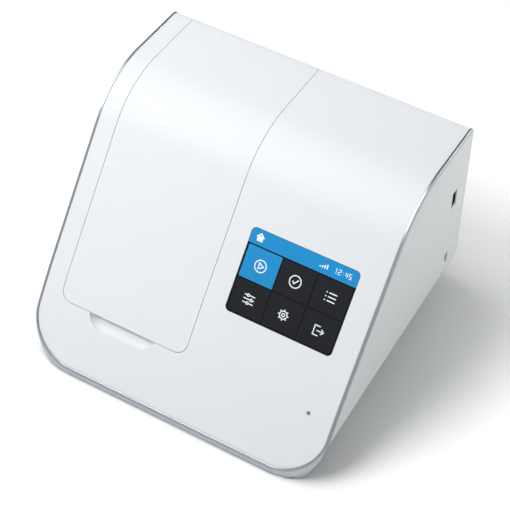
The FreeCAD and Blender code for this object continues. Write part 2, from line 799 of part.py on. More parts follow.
# Rear housing: two side walls, the back wall, the chin under the trim and the lid's trough.
def make_housing():
    depth = cover_thickness + seat_gap
    walls = under_skin(depth, -half_width, half_width, "back")
    walls = walls.common(box(-half_width, half_width, front_y, back_face, side_edge_height, case_height))
    walls = walls.fuse(box(-half_width, half_width, back_inner - wall_thickness, back_face,
                           side_edge_height, wall_top))
    walls = walls.cut(box(-inner_x, inner_x, front_y - overrun, back_inner, -overrun, case_height + overrun))
    walls = walls.cut(box(-inner_x, inner_x, front_y, back_face + overrun, wall_top, case_height))
    trim_edge = half_width - trim_side_width
    for x0, x1 in ((-half_width, -trim_edge), (trim_edge, half_width)):
        walls = walls.fuse(under_skin(0, x0, x1, "back").common(behind_trim(seat_gap)))
    walls = walls.common(rounded_box(-half_width, half_width, front_y - overrun, back_face,
                                     -overrun, case_height + overrun, trim_side_width))
    chin = slab(depth, depth + wall_thickness, -half_width, half_width, "top")
    chin = chin.common(plan_block(chin_margin, chin_margin, lip_height + seat_gap,
                                  side_edge_height + chin_reach))
    chin = chin.cut(scoop_shape(scoop_wall + seat_gap))
    housing = joined([walls, chin])
    barrel = back_radius + barrel_clearance
    left = lid_left - lid_seam
    right = lid_right + lid_seam
    housing = housing.cut(hinge_rod(barrel, left, right))
    trough = hinge_sector(barrel, barrel + trough_thickness, 0, -trough_end_angle, left, right)
    trough = trough.common(box(left, right, hinge_y - overrun, back_face, 0, wall_top))
    housing = housing.fuse(trough)
    for side in (-1, 1):
        for y in base_boss_places:
            foot = Vector(side * base_boss_x, y, tray_top)
            boss = rod(base_boss_radius, foot, foot + Vector(0, 0, base_boss_height))
            web_x = sorted((side * base_boss_x, side * (inner_x + wall_thickness / 2)))
            web = box(web_x[0], web_x[1], y - wall_thickness / 2, y + wall_thickness / 2,
                      tray_top, tray_top + base_boss_height)
            housing = housing.fuse(boss).fuse(web)
            housing = housing.cut(rod(base_screw_radius + bore_clearance, foot,
                                      foot + Vector(0, 0, base_boss_height - wall_thickness)))
    for x, z in io_corners:
        tip = Vector(x, io_board_back, z)
        housing = housing.fuse(rod(io_boss_radius, tip, Vector(x, back_inner + wall_thickness / 2, z)))
        end = tip + Vector(0, board_screw_length, 0)
        housing = housing.cut(rod(board_screw_radius + bore_clearance, tip, end))
    for y, z in side_corners:
        tip = Vector(side_board_out, y, z)
        housing = housing.fuse(rod(side_boss_radius, tip, Vector(inner_x + wall_thickness / 2, y, z)))
        end = tip + Vector(board_screw_length, 0, 0)
        housing = housing.cut(rod(board_screw_radius + bore_clearance, tip, end))
    for side in (-1, 1):
        z = lock_height + side * (lock_plate_height / 2 - 2 * lock_peg_radius)
        housing = housing.fuse(rod(lock_peg_radius, Vector(inner_x - lock_plate_thickness, lock_y, z),
                                   Vector(inner_x + wall_thickness / 2, lock_y, z)))
    return without(housing, housing_holes()).removeSplitter()


# Openings through the housing's walls for the sockets, the button, the vents and the lock.
def housing_holes():
    y0 = back_inner - wall_thickness / 2
    y1 = back_face + overrun
    holes = []
    for x in rear_usb_places:
        holes.append(box(x - usb_long / 2 - socket_clearance, x + usb_long / 2 + socket_clearance, y0, y1,
                         socket_height - usb_short / 2 - socket_clearance,
                         socket_height + usb_short / 2 + socket_clearance))
    half = network_width / 2 + socket_clearance
    rise = network_height / 2 + socket_clearance
    holes.append(box(network_x - half, network_x + half, y0, y1, socket_height - rise, socket_height + rise))
    holes.append(rod(power_nose_radius + socket_clearance, Vector(power_x, y0, socket_height),
                     Vector(power_x, y1, socket_height)))
    holes.append(rod(button_radius + button_clearance, Vector(button_x, y0, socket_height),
                     Vector(button_x, y1, socket_height)))
    for i in range(vent_slot_count):
        x = vent_left + i * vent_slot_pitch
        slot = box(x, x + vent_slot_width, y0, y1, vent_low, vent_low + vent_slot_height)
        holes.append(slot)
    holes.append(box(inner_x - wall_thickness / 2, half_width + overrun,
                     side_usb_y - usb_short / 2 - socket_clearance,
                     side_usb_y + usb_short / 2 + socket_clearance,
                     side_usb_height - usb_long / 2 - socket_clearance,
                     side_usb_height + usb_long / 2 + socket_clearance))
    holes.append(lock_slot(inner_x - wall_thickness / 2, half_width + overrun, 0))
    return holes


# Lid shell: the wrapped white panel with a barrel round the hinge and two knuckles.
def make_lid_shell():
    shell = slab(0, cover_thickness, lid_left, lid_right, "curl").common(lid_block(0))
    inside = back_radius - cover_thickness
    for x in knuckle_starts():
        knuckle = hinge_rod(knuckle_radius, x, x + knuckle_length)
        fill = hinge_sector(pin_radius, inside + cover_thickness / 2, 90 - knuckle_fill_angle,
                            -knuckle_fill_angle, x, x + knuckle_length)
        shell = shell.fuse(knuckle).fuse(fill)
    shell = shell.cut(hinge_rod(pin_radius + pin_clearance, lid_left - overrun, lid_right + overrun))
    for x, t in magnet_places:
        n = -skin_drop(t) - cover_thickness
        pocket = slope_rod(magnet_radius + pocket_clearance, x, t, n - lid_seam, n + magnet_thickness)
        shell = shell.cut(pocket)
    for x, t in lid_screw_places():
        shell = shell.cut(slope_rod(lid_screw_radius + bore_clearance, x, t,
                                    -cover_thickness - lid_seam, -cover_thickness + lid_screw_bite))
    return shell.removeSplitter()


# Left ends of the lid's two knuckles.
def knuckle_starts():
    return [lid_left + knuckle_inset, lid_right - knuckle_inset - knuckle_length]


# Left ends of the two hinge brackets, each beside a knuckle and towards the lid's middle.
def bracket_starts():
    left, right = knuckle_starts()
    return [left + knuckle_length + knuckle_gap, right - knuckle_gap - bracket_length]


def lid_screw_places():
    places = []
    for x in (lid_left + liner_margin + lid_screw_inset, lid_right - liner_margin - lid_screw_inset):
        for share in lid_screw_run_shares:
            places.append((x, share * slope_length))
    return places


liner_top = cover_thickness + liner_gap
liner_bottom = liner_top + liner_thickness


# Liner inside the lid.
def make_liner():
    liner = slab(liner_top, liner_bottom, lid_left + liner_margin, lid_right - liner_margin, "top")
    low = climb(lid_run) + liner_lower_margin
    liner = liner.common(slope_block(lid_left + liner_margin, lid_right - liner_margin, low,
                                     low + 4 * overrun, -3 * overrun, overrun, liner_corner_radius))
    liner = liner.common(box(lid_left, lid_right, front_y, hinge_y - liner_back_gap, 0, case_height))
    for x, t in lid_screw_places():
        liner = liner.cut(slope_rod(lid_screw_radius + bore_clearance, x, t, -2 * liner_bottom, 0))
    return liner


# Screws on the slope, heads down inside the case, driven towards the cover.
def slope_screws(places, radius, length, head_radius, head_height, depth):
    made = []
    for x, t in places:
        flat = screw(radius, length, head_radius, head_height)
        flat.Placement = FreeCAD.Placement(Vector(x, t, -depth), FreeCAD.Rotation(Vector(1, 0, 0), 180))
        made.append(on_slope(flat))
    return Part.makeCompound(made)


# Metal bracket beside each knuckle: a ring round the pin, a bar forward and a foot on the hinge shelf.
def make_brackets():
    shelf = hinge_z - hinge_shelf_drop
    made = []
    for x in bracket_starts():
        ring = hinge_rod(knuckle_radius, x, x + bracket_length)
        foot_back = hinge_y - bracket_foot_gap
        bar = box(x, x + bracket_length, foot_back - bracket_foot_depth, hinge_y,
                  hinge_z - bracket_bar_drop, hinge_z)
        foot = box(x, x + bracket_length, foot_back - bracket_foot_depth, foot_back, shelf, hinge_z)
        bracket = joined([ring, bar, foot])
        bracket = bracket.cut(hinge_rod(pin_radius + pin_clearance, x - overrun, x + overrun))
        middle = Vector(x + bracket_length / 2, foot_back - bracket_foot_depth / 2, shelf)
        above = middle + Vector(0, 0, overrun)
        bracket = bracket.cut(rod(heater_screw_radius + bore_clearance, middle, above))
        made.append(bracket)
    return Part.makeCompound(made)


def bracket_screw_places():
    y = hinge_y - bracket_foot_gap - bracket_foot_depth / 2
    return [Vector(x + bracket_length / 2, y, hinge_z) for x in bracket_starts()]


# One pin for each knuckle and bracket pair.
def make_pins():
    left, right = knuckle_starts()
    left_bracket, right_bracket = bracket_starts()
    pins = [hinge_rod(pin_radius, left, left_bracket + bracket_length)]
    pins.append(hinge_rod(pin_radius, right_bracket, right + knuckle_length))
    return Part.makeCompound(pins)


well_left = lid_left + ledge_inward + well_wall - bore_clearance
well_right = lid_right - ledge_inward - well_wall + bore_clearance
well_middle = (well_left + well_right) / 2
hinge_shelf = hinge_z - hinge_shelf_drop
trough_outside = back_radius + barrel_clearance + trough_thickness
hinge_shelf_end = hinge_y + trough_outside * cosine(trough_end_angle) - hinge_shelf_gap
base_holder_depth = well_shelf_y - well_front_y - base_holder_front_gap - base_holder_back_gap
base_middle_y = well_front_y + base_holder_front_gap + base_holder_depth / 2
base_pocket_width = base_holder_width - 2 * base_pocket_side
base_pocket_depth = base_holder_depth - 2 * base_pocket_end
receiver_holder_depth = well_back_y - well_shelf_y - receiver_holder_front_gap - receiver_holder_back_gap
receiver_middle_y = well_shelf_y + receiver_holder_front_gap + receiver_holder_depth / 2
receiver_pocket_width = receiver_holder_width - 2 * receiver_pocket_side
receiver_pocket_depth = receiver_holder_depth - 2 * receiver_pocket_end


# The well's stepped hollow, or its outside when grown by a wall.
def well_steps(grow, x_grow, top):
    points = [(well_front_y - grow, well_floor - grow)]
    points.append((well_shelf_y + grow, well_floor - grow))
    points.append((well_shelf_y + grow, well_shelf - grow))
    points.append((well_back_y + grow, well_shelf - grow))
    points.append((well_back_y + grow, hinge_shelf - grow))
    points.append((hinge_shelf_end, hinge_shelf - grow))
    points.append((hinge_shelf_end, top))
    points.append((well_front_y - grow, top))
    return side_block(points, well_left - x_grow, well_right + x_grow)


# Places of the heaters' screws around one pocket.
def heater_places(middle_y, width, depth):
    places = []
    for x in (-1, 1):
        for y in (-1, 1):
            reach_x = width / 2 + heater_margin - heater_screw_inset
            reach_y = depth / 2 + heater_margin - heater_screw_inset
            places.append((well_middle + x * reach_x, middle_y + y * reach_y))
    return places


heaters = [(well_floor, base_middle_y, base_pocket_width, base_pocket_depth)]
heaters.append((well_shelf, receiver_middle_y, receiver_pocket_width, receiver_pocket_depth))
optics_top = well_floor - well_wall - optics_post_length
optics_ear_x = base_pocket_width / 2 + heater_margin + optics_post_gap + optics_post_radius


def optics_places():
    places = []
    for x in (-1, 1):
        for y in (-1, 1):
            places.append((well_middle + x * optics_ear_x, base_middle_y + y * optics_depth / 4))
    return places


# Tub of the well: stepped floor, walls, a rim under the cover's ledge and posts for the optics.
def make_tub():
    tub = well_steps(well_wall, well_wall, case_height + overrun)
    tub = tub.common(under_skin(well_inset, -half_width, half_width, "top"))
    rim = slab(well_inset, well_inset + rim_thickness, lid_left - ledge_outward,
               lid_right + ledge_outward, "top")
    low = climb(lid_run)
    rim = rim.common(slope_block(lid_left - ledge_outward, lid_right + ledge_outward, low + rim_run,
                                 low + 4 * overrun, -3 * overrun, overrun, lid_corner_radius))
    rim = rim.common(box(-half_width, half_width, front_y, hinge_y - ledge_back_gap, 0, case_height))
    tub = tub.fuse(rim).cut(well_steps(0, 0, case_height + overrun))
    tub = tub.cut(box(well_left, well_right, well_front_y, hinge_y, hinge_shelf, case_height + overrun))
    for floor, middle_y, width, depth in heaters:
        reach_x = width / 2 - heater_pad_inset + heater_pad_clearance
        reach_y = depth / 2 - heater_pad_inset + heater_pad_clearance
        tub = tub.cut(box(well_middle - reach_x, well_middle + reach_x,
                          middle_y - reach_y, middle_y + reach_y,
                          floor - 2 * well_wall, floor + well_wall))
        for x, y in heater_places(middle_y, width, depth):
            tub = tub.cut(rod(heater_screw_radius + bore_clearance, Vector(x, y, floor - 2 * well_wall),
                              Vector(x, y, floor - well_wall / 4)))
    for x, y in optics_places():
        top = Vector(x, y, well_floor - well_wall / 2)
        tip = Vector(x, y, optics_top)
        tub = tub.fuse(rod(optics_post_radius, tip, top))
        tub = tub.cut(rod(optics_screw_radius + bore_clearance, tip, tip + Vector(0, 0, optics_screw_length)))
    for place in bracket_screw_places():
        tub = tub.cut(rod(heater_screw_radius + bore_clearance,
                          Vector(place.x, place.y, hinge_shelf - 2 * well_wall),
                          Vector(place.x, place.y, hinge_shelf + well_wall)))
    return tub.removeSplitter()


# Holder with a rounded pocket and a raised rim round it.
def make_holder(middle_y, floor, width, depth, height, pocket_width, pocket_depth):
    x0 = well_middle - width / 2
    y0 = middle_y - depth / 2
    body = rounded_box(x0, x0 + width, y0, y0 + depth, floor, floor + height, holder_corner_radius)
    px0 = well_middle - pocket_width / 2
    py0 = middle_y - pocket_depth / 2
    rim = rounded_box(px0 - holder_rim, px0 + pocket_width + holder_rim, py0 - holder_rim,
                      py0 + pocket_depth + holder_rim, floor, floor + height + holder_rim_height,
                      holder_corner_radius)
    pocket = rounded_box(px0, px0 + pocket_width, py0, py0 + pocket_depth, floor + holder_floor,
                         floor + height + overrun, holder_corner_radius - holder_rim)
    return joined([body, rim]).cut(pocket)


light_places = [well_middle - channel_pitch / 2, well_middle + channel_pitch / 2]


# Light holes up through whatever lies between the optics and the test base.
def light_holes(z0, z1):
    holes = []
    for x in light_places:
        holes.append(rod(light_hole_radius, Vector(x, base_middle_y, z0), Vector(x, base_middle_y, z1)))
    return holes


def centred_box(middle_y, width, depth, z0, z1):
    return box(well_middle - width / 2, well_middle + width / 2,
               middle_y - depth / 2, middle_y + depth / 2, z0, z1)


# Heater block under a holder, with a pad that comes up through the well's floor.
def make_heater(floor, middle_y, width, depth):
    top = floor - well_wall - heater_gap
    block = centred_box(middle_y, width + 2 * heater_margin, depth + 2 * heater_margin,
                        top - heater_thickness, top)
    pad = centred_box(middle_y, width - 2 * heater_pad_inset, depth - 2 * heater_pad_inset,
                      top, floor - bore_clearance)
    block = block.fuse(pad)
    for x, y in heater_places(middle_y, width, depth):
        block = block.cut(rod(heater_screw_radius + bore_clearance, Vector(x, y, top - 2 * heater_thickness),
                              Vector(x, y, top + heater_gap)))
    middle_z = top - heater_thickness / 2
    side_x = well_middle + width / 2 + heater_margin
    block = block.cut(rod(sensor_radius + bore_clearance, Vector(side_x - sensor_length, middle_y, middle_z),
                          Vector(side_x + overrun, middle_y, middle_z)))
    return block.removeSplitter()


# The sensor pushed into a heater block's side.
def make_sensor(floor, middle_y, width, depth):
    middle_z = floor - well_wall - heater_gap - heater_thickness / 2
    side_x = well_middle + width / 2 + heater_margin
    return rod(sensor_radius, Vector(side_x - sensor_length + bore_clearance, middle_y, middle_z),
               Vector(side_x + sensor_radius, middle_y, middle_z))


# Film and foam under a heater block, each a plate with the screw heads left free.
def under_heater(floor, middle_y, width, depth, drop, thickness):
    top = floor - well_wall - heater_gap - heater_thickness - drop
    inset = 2 * (heater_screw_inset + heater_screw_head_radius + bore_clearance)
    plate = centred_box(middle_y, width + 2 * heater_margin - inset, depth + 2 * heater_margin,
                        top - thickness, top)
    return plate


def heater_screws():
    made = []
    for floor, middle_y, width, depth in heaters:
        under = floor - well_wall - heater_gap - heater_thickness
        length = heater_thickness + heater_gap + well_wall / 2
        for x, y in heater_places(middle_y, width, depth):
            shape = screw(heater_screw_radius, length, heater_screw_head_radius, heater_screw_head_height)
            made.append(aimed(shape, Vector(x, y, under), Vector(0, 0, -1)))
    return Part.makeCompound(made)


optics_low = optics_top - optics_height
led_z = optics_top - led_drop
optics_front = base_middle_y - optics_depth / 2


# Black block that holds the light path of both channels.
def make_optics_housing():
    block = centred_box(base_middle_y, optics_width, optics_depth, optics_low, optics_top)
    ears = centred_box(base_middle_y, 2 * (optics_ear_x + optics_post_radius), optics_depth,
                       optics_top - optics_ear_thickness, optics_top)
    block = joined([block, ears])
    for x in light_places:
        block = block.cut(rod(channel_radius, Vector(x, base_middle_y, optics_low + channel_floor),
                              Vector(x, base_middle_y, optics_top + overrun)))
        half = photodiode_side / 2 + socket_clearance
        block = block.cut(box(x - half, x + half, base_middle_y - half, base_middle_y + half,
                              optics_low - overrun, optics_low + channel_floor + bore_clearance))
        block = block.cut(rod(led_radius + optic_clearance, Vector(x, optics_front - overrun, led_z),
                              Vector(x, base_middle_y, led_z)))
    for x, y in optics_places():
        block = block.cut(rod(optics_screw_radius + bore_clearance, Vector(x, y, optics_low),
                              Vector(x, y, optics_top)))
    return block.removeSplitter()


# A round optic lying in each channel.
def channel_discs(drop, thickness):
    discs = []
    for x in light_places:
        top = Vector(x, base_middle_y, optics_top - drop)
        discs.append(rod(channel_radius - optic_clearance, top - Vector(0, 0, thickness), top))
    return Part.makeCompound(discs)


# Lens with a domed upper face.
def make_lenses():
    lenses = []
    radius = channel_radius - optic_clearance
    ball_radius = 2 * radius
    for x in light_places:
        top = Vector(x, base_middle_y, optics_top - lens_drop)
        flat = rod(radius, top - Vector(0, 0, lens_height), top)
        lenses.append(flat.common(Part.makeSphere(ball_radius, top - Vector(0, 0, ball_radius))))
    return Part.makeCompound(lenses)


# Round things lying in the excitation bores, from a depth behind the block's front.
def bore_discs(start, length):
    discs = []
    for x in light_places:
        face = Vector(x, optics_front + start, led_z)
        discs.append(rod(led_radius, face, face + Vector(0, length, 0)))
    return Part.makeCompound(discs)


def make_photodiodes():
    made = []
    half = photodiode_side / 2
    for x in light_places:
        made.append(box(x - half, x + half, base_middle_y - half, base_middle_y + half,
                        optics_low, optics_low + photodiode_height))
    return Part.makeCompound(made)


def optics_screws():
    made = []
    length = optics_ear_thickness + optics_screw_length - well_wall
    under = optics_top - optics_ear_thickness
    for x, y in optics_places():
        shape = screw(optics_screw_radius, length, optics_screw_head_radius, optics_screw_head_height)
        made.append(aimed(shape, Vector(x, y, under), Vector(0, 0, -1)))
    return Part.makeCompound(made)


glass_bottom = -glass_recess - glass_thickness
lcd_top = -cover_thickness - seat_gap
lcd_bottom = lcd_top - lcd_thickness


def make_gasket():
    outer = slope_block(display_left, display_right, display_low, display_high,
                        lcd_top + gasket_slack, glass_bottom - gasket_slack, display_corner_radius)
    inner = slope_block(display_left + gasket_width, display_right - gasket_width, display_low + gasket_width,
                        display_high - gasket_width, lcd_bottom, 0, display_corner_radius)
    return outer.cut(inner)


# Frame that holds the panel against the cover: a plate with a window and four screwed ears.
def make_display_frame():
    reach = display_boss_offset + display_boss_radius
    top = lcd_bottom - seat_gap
    plate = slope_block(display_left - reach, display_right + reach, display_low + seat_gap, display_high,
                        top - frame_thickness, top, display_corner_radius)
    plate = plate.cut(slope_block(display_left + frame_rail, display_right - frame_rail,
                                  display_low + frame_rail, display_high - frame_rail,
                                  top - overrun, top + overrun, display_corner_radius))
    for x, t in display_corners():
        bore = slope_rod(display_screw_radius + bore_clearance, x, t, top - overrun, top + overrun)
        plate = plate.cut(bore)
    return plate


# Ribbon from the panel's lower edge down to its header, midway between the well's rim and the board's end.
display_ribbon_width = display_ribbon_share * display_width
ribbon_middle_x = (lid_right + ledge_outward + main_board_right) / 2
main_board_low = plinth_floor_height + plinth_wall + board_post_height
main_board_top = main_board_low + board_thickness


def slope_side_point(t, n):
    y = slope_start.y + t * cosine(slope_angle) - n * sine(slope_angle)
    z = slope_start.z + t * sine(slope_angle) + n * cosine(slope_angle)
    return y, z


def make_display_ribbon():
    t = display_low - lcd_end_lap - ribbon_thickness
    start = slope_side_point(t, lcd_top - lcd_thickness / 2)
    bend = slope_side_point(t, lcd_bottom - frame_thickness - display_boss_radius)
    points = [start, bend, (bend[0], main_board_top + header_height + bore_clearance)]
    x0 = ribbon_middle_x - display_ribbon_width / 2
    return ribbon(points, x0, x0 + display_ribbon_width), bend[0], x0


def make_status_lens():
    t, n = status_place()
    under = n - cover_thickness
    stem = slope_rod(status_radius, status_x, t, under - status_flange_thickness, n - bore_clearance)
    flange = slope_rod(status_flange_radius, status_x, t, under - status_flange_thickness, under - seat_gap)
    return joined([stem, flange])


def make_status_board():
    t, n = status_place()
    top = n - cover_thickness - status_board_gap
    half = status_board_width / 2
    plate = slope_block(status_x - half, status_x + half,
                        t - status_board_depth / 2, t + status_board_depth / 2,
                        top - board_thickness, top, status_radius)
    half = status_led_side / 2
    light = slope_block(status_x - half, status_x + half, t - half, t + half, top, top + status_led_height,
                        status_clearance)
    return joined([plate, light])


# Base tray: a flange inside the side walls, and a plinth below it that stands on the feet.
def make_tray():
    chin_depth = cover_thickness + seat_gap + wall_thickness
    reach = toe_radius - chin_depth
    chin_y = toe_centre.y - math.sqrt(reach ** 2 - (tray_top - toe_centre.z) ** 2)
    edge = inner_x - tray_gap
    flange = box(-edge, edge, chin_y + tray_gap, back_inner - tray_gap, tray_low, tray_top)
    plinth = rounded_box(-plinth_half, plinth_half, plinth_front_y, plinth_back,
                         plinth_floor_height, tray_top, plinth_corner_radius)
    hollow = rounded_box(plinth_wall - plinth_half, plinth_half - plinth_wall, plinth_front_y + plinth_wall,
                         plinth_back - plinth_wall, plinth_floor_height + plinth_wall, tray_top + overrun,
                         plinth_corner_radius - plinth_wall)
    tray = joined([flange, plinth]).cut(hollow)
    floor = plinth_floor_height + plinth_wall
    for x, y in board_corners():
        tip = Vector(x, y, floor + board_post_height)
        tray = tray.fuse(rod(board_post_radius, Vector(x, y, floor - plinth_wall / 2), tip))
        tray = tray.cut(rod(board_screw_radius + bore_clearance, tip - Vector(0, 0, board_screw_length), tip))
    for x, y in foot_places():
        tray = tray.cut(rod(foot_peg_radius + foot_peg_clearance, Vector(x, y, 0), Vector(x, y, floor)))
    for side in (-1, 1):
        for y in base_boss_places:
            tray = tray.cut(rod(base_screw_radius + bore_clearance, Vector(side * base_boss_x, y, 0),
                                Vector(side * base_boss_x, y, tray_top)))
        tray = tray.cut(rod(base_screw_radius + bore_clearance, Vector(side * cover_post_x, cover_post_y, 0),
                            Vector(side * cover_post_x, cover_post_y, tray_top)))
    for i in range(grille_slot_count):
        x = speaker_x + (i - (grille_slot_count - 1) / 2) * grille_slot_pitch
        tray = tray.cut(box(x - grille_slot_width / 2, x + grille_slot_width / 2,
                            speaker_y - grille_slot_length / 2, speaker_y + grille_slot_length / 2,
                            0, floor))
    return tray.removeSplitter()


def foot_places():
    places = []
    for x in (foot_inset - plinth_half, plinth_half - foot_inset):
        for y in (plinth_front_y + foot_inset, plinth_back - foot_inset):
            places.append((x, y))
    return places


def board_corners():
    places = []
    for x in (main_board_left + board_hole_inset, main_board_right - board_hole_inset):
        for y in (main_board_front + board_hole_inset, main_board_back - board_hole_inset):
            places.append((x, y))
    return places


def make_feet():
    feet = []
    for x, y in foot_places():
        pad = rod(foot_radius, Vector(x, y, 0), Vector(x, y, plinth_floor_height))
        peg = rod(foot_peg_radius, Vector(x, y, 0), Vector(x, y, plinth_floor_height + plinth_wall))
        feet.append(joined([pad, peg]))
    return Part.makeCompound(feet)


def make_base_screws():
    made = []
    shape = screw(base_screw_radius, base_screw_length, base_screw_head_radius, base_screw_head_height)
    for side in (-1, 1):
        for y in base_boss_places:
            made.append(aimed(shape, Vector(side * base_boss_x, y, tray_low), Vector(0, 0, -1)))
        made.append(aimed(shape, Vector(side * cover_post_x, cover_post_y, tray_low), Vector(0, 0, -1)))
    return Part.makeCompound(made)


# Screw that clamps a board against a boss, driven along a direction.
def board_screw(place, direction):
    shape = screw(board_screw_radius, board_screw_length, board_screw_head_radius, board_screw_head_height)
    return aimed(shape, place, direction)


def make_main_board():
    board = box(main_board_left, main_board_right, main_board_front, main_board_back,
                main_board_low, main_board_top)
    for x, y in board_corners():
        board = board.cut(rod(board_screw_radius + bore_clearance, Vector(x, y, 0), Vector(x, y, tray_top)))
    return board


def make_main_screws():
    return Part.makeCompound([board_screw(Vector(x, y, main_board_top), Vector(0, 0, 1))
                              for x, y in board_corners()])


def make_chips():
    chips = []
    for (share_x, share_y), side in zip(chip_place_shares, chip_sides):
        x = main_board_left + share_x * main_board_width
        y = main_board_front + share_y * main_board_depth
        chips.append(box(x - side / 2, x + side / 2, y - side / 2, y + side / 2,
                         main_board_top, main_board_top + chip_height))
    return Part.makeCompound(chips)


# Header under a ribbon's end or a board.
def header(x0, x1, y, top):
    return box(x0, x1, y - header_depth / 2, y + header_depth / 2, main_board_top, top)


def make_cell_cup():
    foot = Vector(cell_x, cell_y, main_board_top)
    height = Vector(0, 0, cell_cup_floor + cell_height / 2)
    cup = rod(cell_radius + cell_cup_wall + pocket_clearance, foot, foot + height)
    return cup.cut(rod(cell_radius + pocket_clearance, foot + Vector(0, 0, cell_cup_floor),
                       foot + 2 * height))


def make_cell():
    foot = Vector(cell_x, cell_y, main_board_top + cell_cup_floor)
    return rod(cell_radius, foot, foot + Vector(0, 0, cell_height))


def make_speaker():
    foot = Vector(speaker_x, speaker_y, plinth_floor_height + plinth_wall)
    can = rod(speaker_radius, foot, foot + Vector(0, 0, speaker_height))
    tip = foot + Vector(0, 0, speaker_height + cell_height)
    return can.fuse(rod(speaker_radius / 2, foot, tip)).removeSplitter()


io_board_front = io_board_back - board_thickness
socket_face = back_face - socket_recess


def make_io_board():
    board = box(io_board_left, io_board_right, io_board_front, io_board_back, io_board_low, io_board_high)
    for x, z in io_corners:
        board = board.cut(rod(board_screw_radius + bore_clearance, Vector(x, io_board_front, z),
                              Vector(x, io_board_back, z)))
    return board


def make_io_screws():
    made = [board_screw(Vector(x, io_board_front, z), Vector(0, -1, 0)) for x, z in io_corners]
    made += [board_screw(Vector(side_board_out - board_thickness, y, z), Vector(-1, 0, 0))
             for y, z in side_corners]
    return Part.makeCompound(made)


# Metal-shelled socket drawn with its long side along X, its mouth at y = 0 and its body behind.
def usb_socket(length):
    outer = box(-usb_long / 2, usb_long / 2, -length, 0, -usb_short / 2, usb_short / 2)
    hollow = box(usb_shell - usb_long / 2, usb_long / 2 - usb_shell, -usb_depth, overrun,
                 usb_shell - usb_short / 2, usb_short / 2 - usb_shell)
    tongue = box(-usb_tongue_long / 2, usb_tongue_long / 2, -usb_depth - usb_shell, -usb_tongue_recess,
                 usb_short / 2 - usb_shell - 1.2 * usb_tongue_short,
                 usb_short / 2 - usb_shell - usb_tongue_short / 5)
    return outer.cut(hollow).fuse(tongue).removeSplitter()


def make_rear_usb():
    sockets = []
    for x in rear_usb_places:
        socket = usb_socket(socket_face - io_board_back)
        socket.translate(Vector(x, socket_face, socket_height))
        sockets.append(socket)
    return Part.makeCompound(sockets)


def make_side_usb():
    socket = usb_socket(half_width - socket_recess - side_board_out)
    spin = FreeCAD.Rotation(Vector(0, 1, 0), 90)
    turn = FreeCAD.Rotation(Vector(0, 0, 1), -90)
    place = Vector(half_width - socket_recess, side_usb_y, side_usb_height)
    socket.Placement = FreeCAD.Placement(place, turn.multiply(spin))
    return socket


def make_side_board():
    board = box(side_board_out - board_thickness, side_board_out, side_usb_y - side_board_depth / 2,
                side_usb_y + side_board_depth / 2, side_usb_height - side_board_height / 2,
                side_usb_height + side_board_height / 2)
    for y, z in side_corners:
        board = board.cut(rod(board_screw_radius + bore_clearance, Vector(0, y, z), Vector(half_width, y, z)))
    return board


# Network socket with its latch notch and eight contacts.
def make_network():
    x0 = network_x - network_width / 2
    z0 = socket_height - network_height / 2
    body = box(x0, x0 + network_width, io_board_back, socket_face, z0, z0 + network_height)
    port_low = socket_height - network_port_height / 2
    port_y = socket_face - network_port_depth + network_notch_height / 2
    port = box(network_x - network_port_width / 2, network_x + network_port_width / 2, port_y,
               socket_face + overrun, port_low, port_low + network_port_height)
    notch = box(network_x - network_notch_width / 2, network_x + network_notch_width / 2, port_y,
                socket_face + overrun, port_low - network_notch_height, port_low)
    return without(body, [port, notch]).removeSplitter()


def make_network_pins():
    pins = []
    top = socket_height + network_port_height / 2
    back = socket_face - network_port_depth + network_notch_height / 2
    for i in range(network_pin_count):
        x = network_x + (i - (network_pin_count - 1) / 2) * network_pin_pitch
        start = Vector(x, back + bore_clearance, top - 4 * network_pin_radius)
        end = Vector(x, socket_face - network_notch_height, top - 2 * network_pin_radius)
        pins.append(rod(network_pin_radius, start, end))
    return Part.makeCompound(pins)


# Power jack: a body on the board, a round nose through the wall, a bore and its centre pin.
def make_power_jack():
    x0 = power_x - power_body_width / 2
    z0 = socket_height - power_body_height / 2
    body = box(x0, x0 + power_body_width, io_board_back, back_inner - socket_clearance,
               z0, z0 + power_body_height)
    start = Vector(power_x, io_board_back, socket_height)
    face = Vector(power_x, socket_face, socket_height)
    nose = rod(power_nose_radius, start, face)
    bore = rod(power_bore_radius, face - Vector(0, power_bore_depth, 0), face + Vector(0, overrun, 0))
    pin = rod(power_pin_radius, start, face - Vector(0, power_pin_recess, 0))
    return joined([body, nose]).cut(bore).fuse(pin).removeSplitter()


# Power button: a dished cap through the back wall, a flange that keeps it in and a stem.
flange_back = back_inner - button_clearance


def make_button():
    face = Vector(button_x, back_face + button_proud, socket_height)
    flange_front = flange_back - button_flange_thickness
    cap = rod(button_radius, Vector(button_x, flange_front, socket_height), face)
    flange = rod(button_flange_radius, Vector(button_x, flange_front, socket_height),
                 Vector(button_x, flange_back, socket_height))
    switch_face = io_board_back + switch_depth
    stem_end = switch_face - switch_bore_depth + button_travel + button_clearance
    stem = rod(button_stem_radius, Vector(button_x, stem_end, socket_height),
               Vector(button_x, flange_back, socket_height))
    ball_radius = (button_radius ** 2 + button_dish ** 2) / (2 * button_dish)
    ball = Part.makeSphere(ball_radius, face + Vector(0, ball_radius - button_dish / 2, 0))
    return joined([cap, flange, stem]).cut(ball)


def make_switch():
    half = switch_side / 2
    body = box(button_x - half, button_x + half, io_board_back, io_board_back + switch_depth,
               socket_height - half, socket_height + half)
    face = Vector(button_x, io_board_back + switch_depth, socket_height)
    bore = rod(button_stem_radius + stem_clearance, face - Vector(0, switch_bore_depth, 0), face)
    return body.cut(bore)


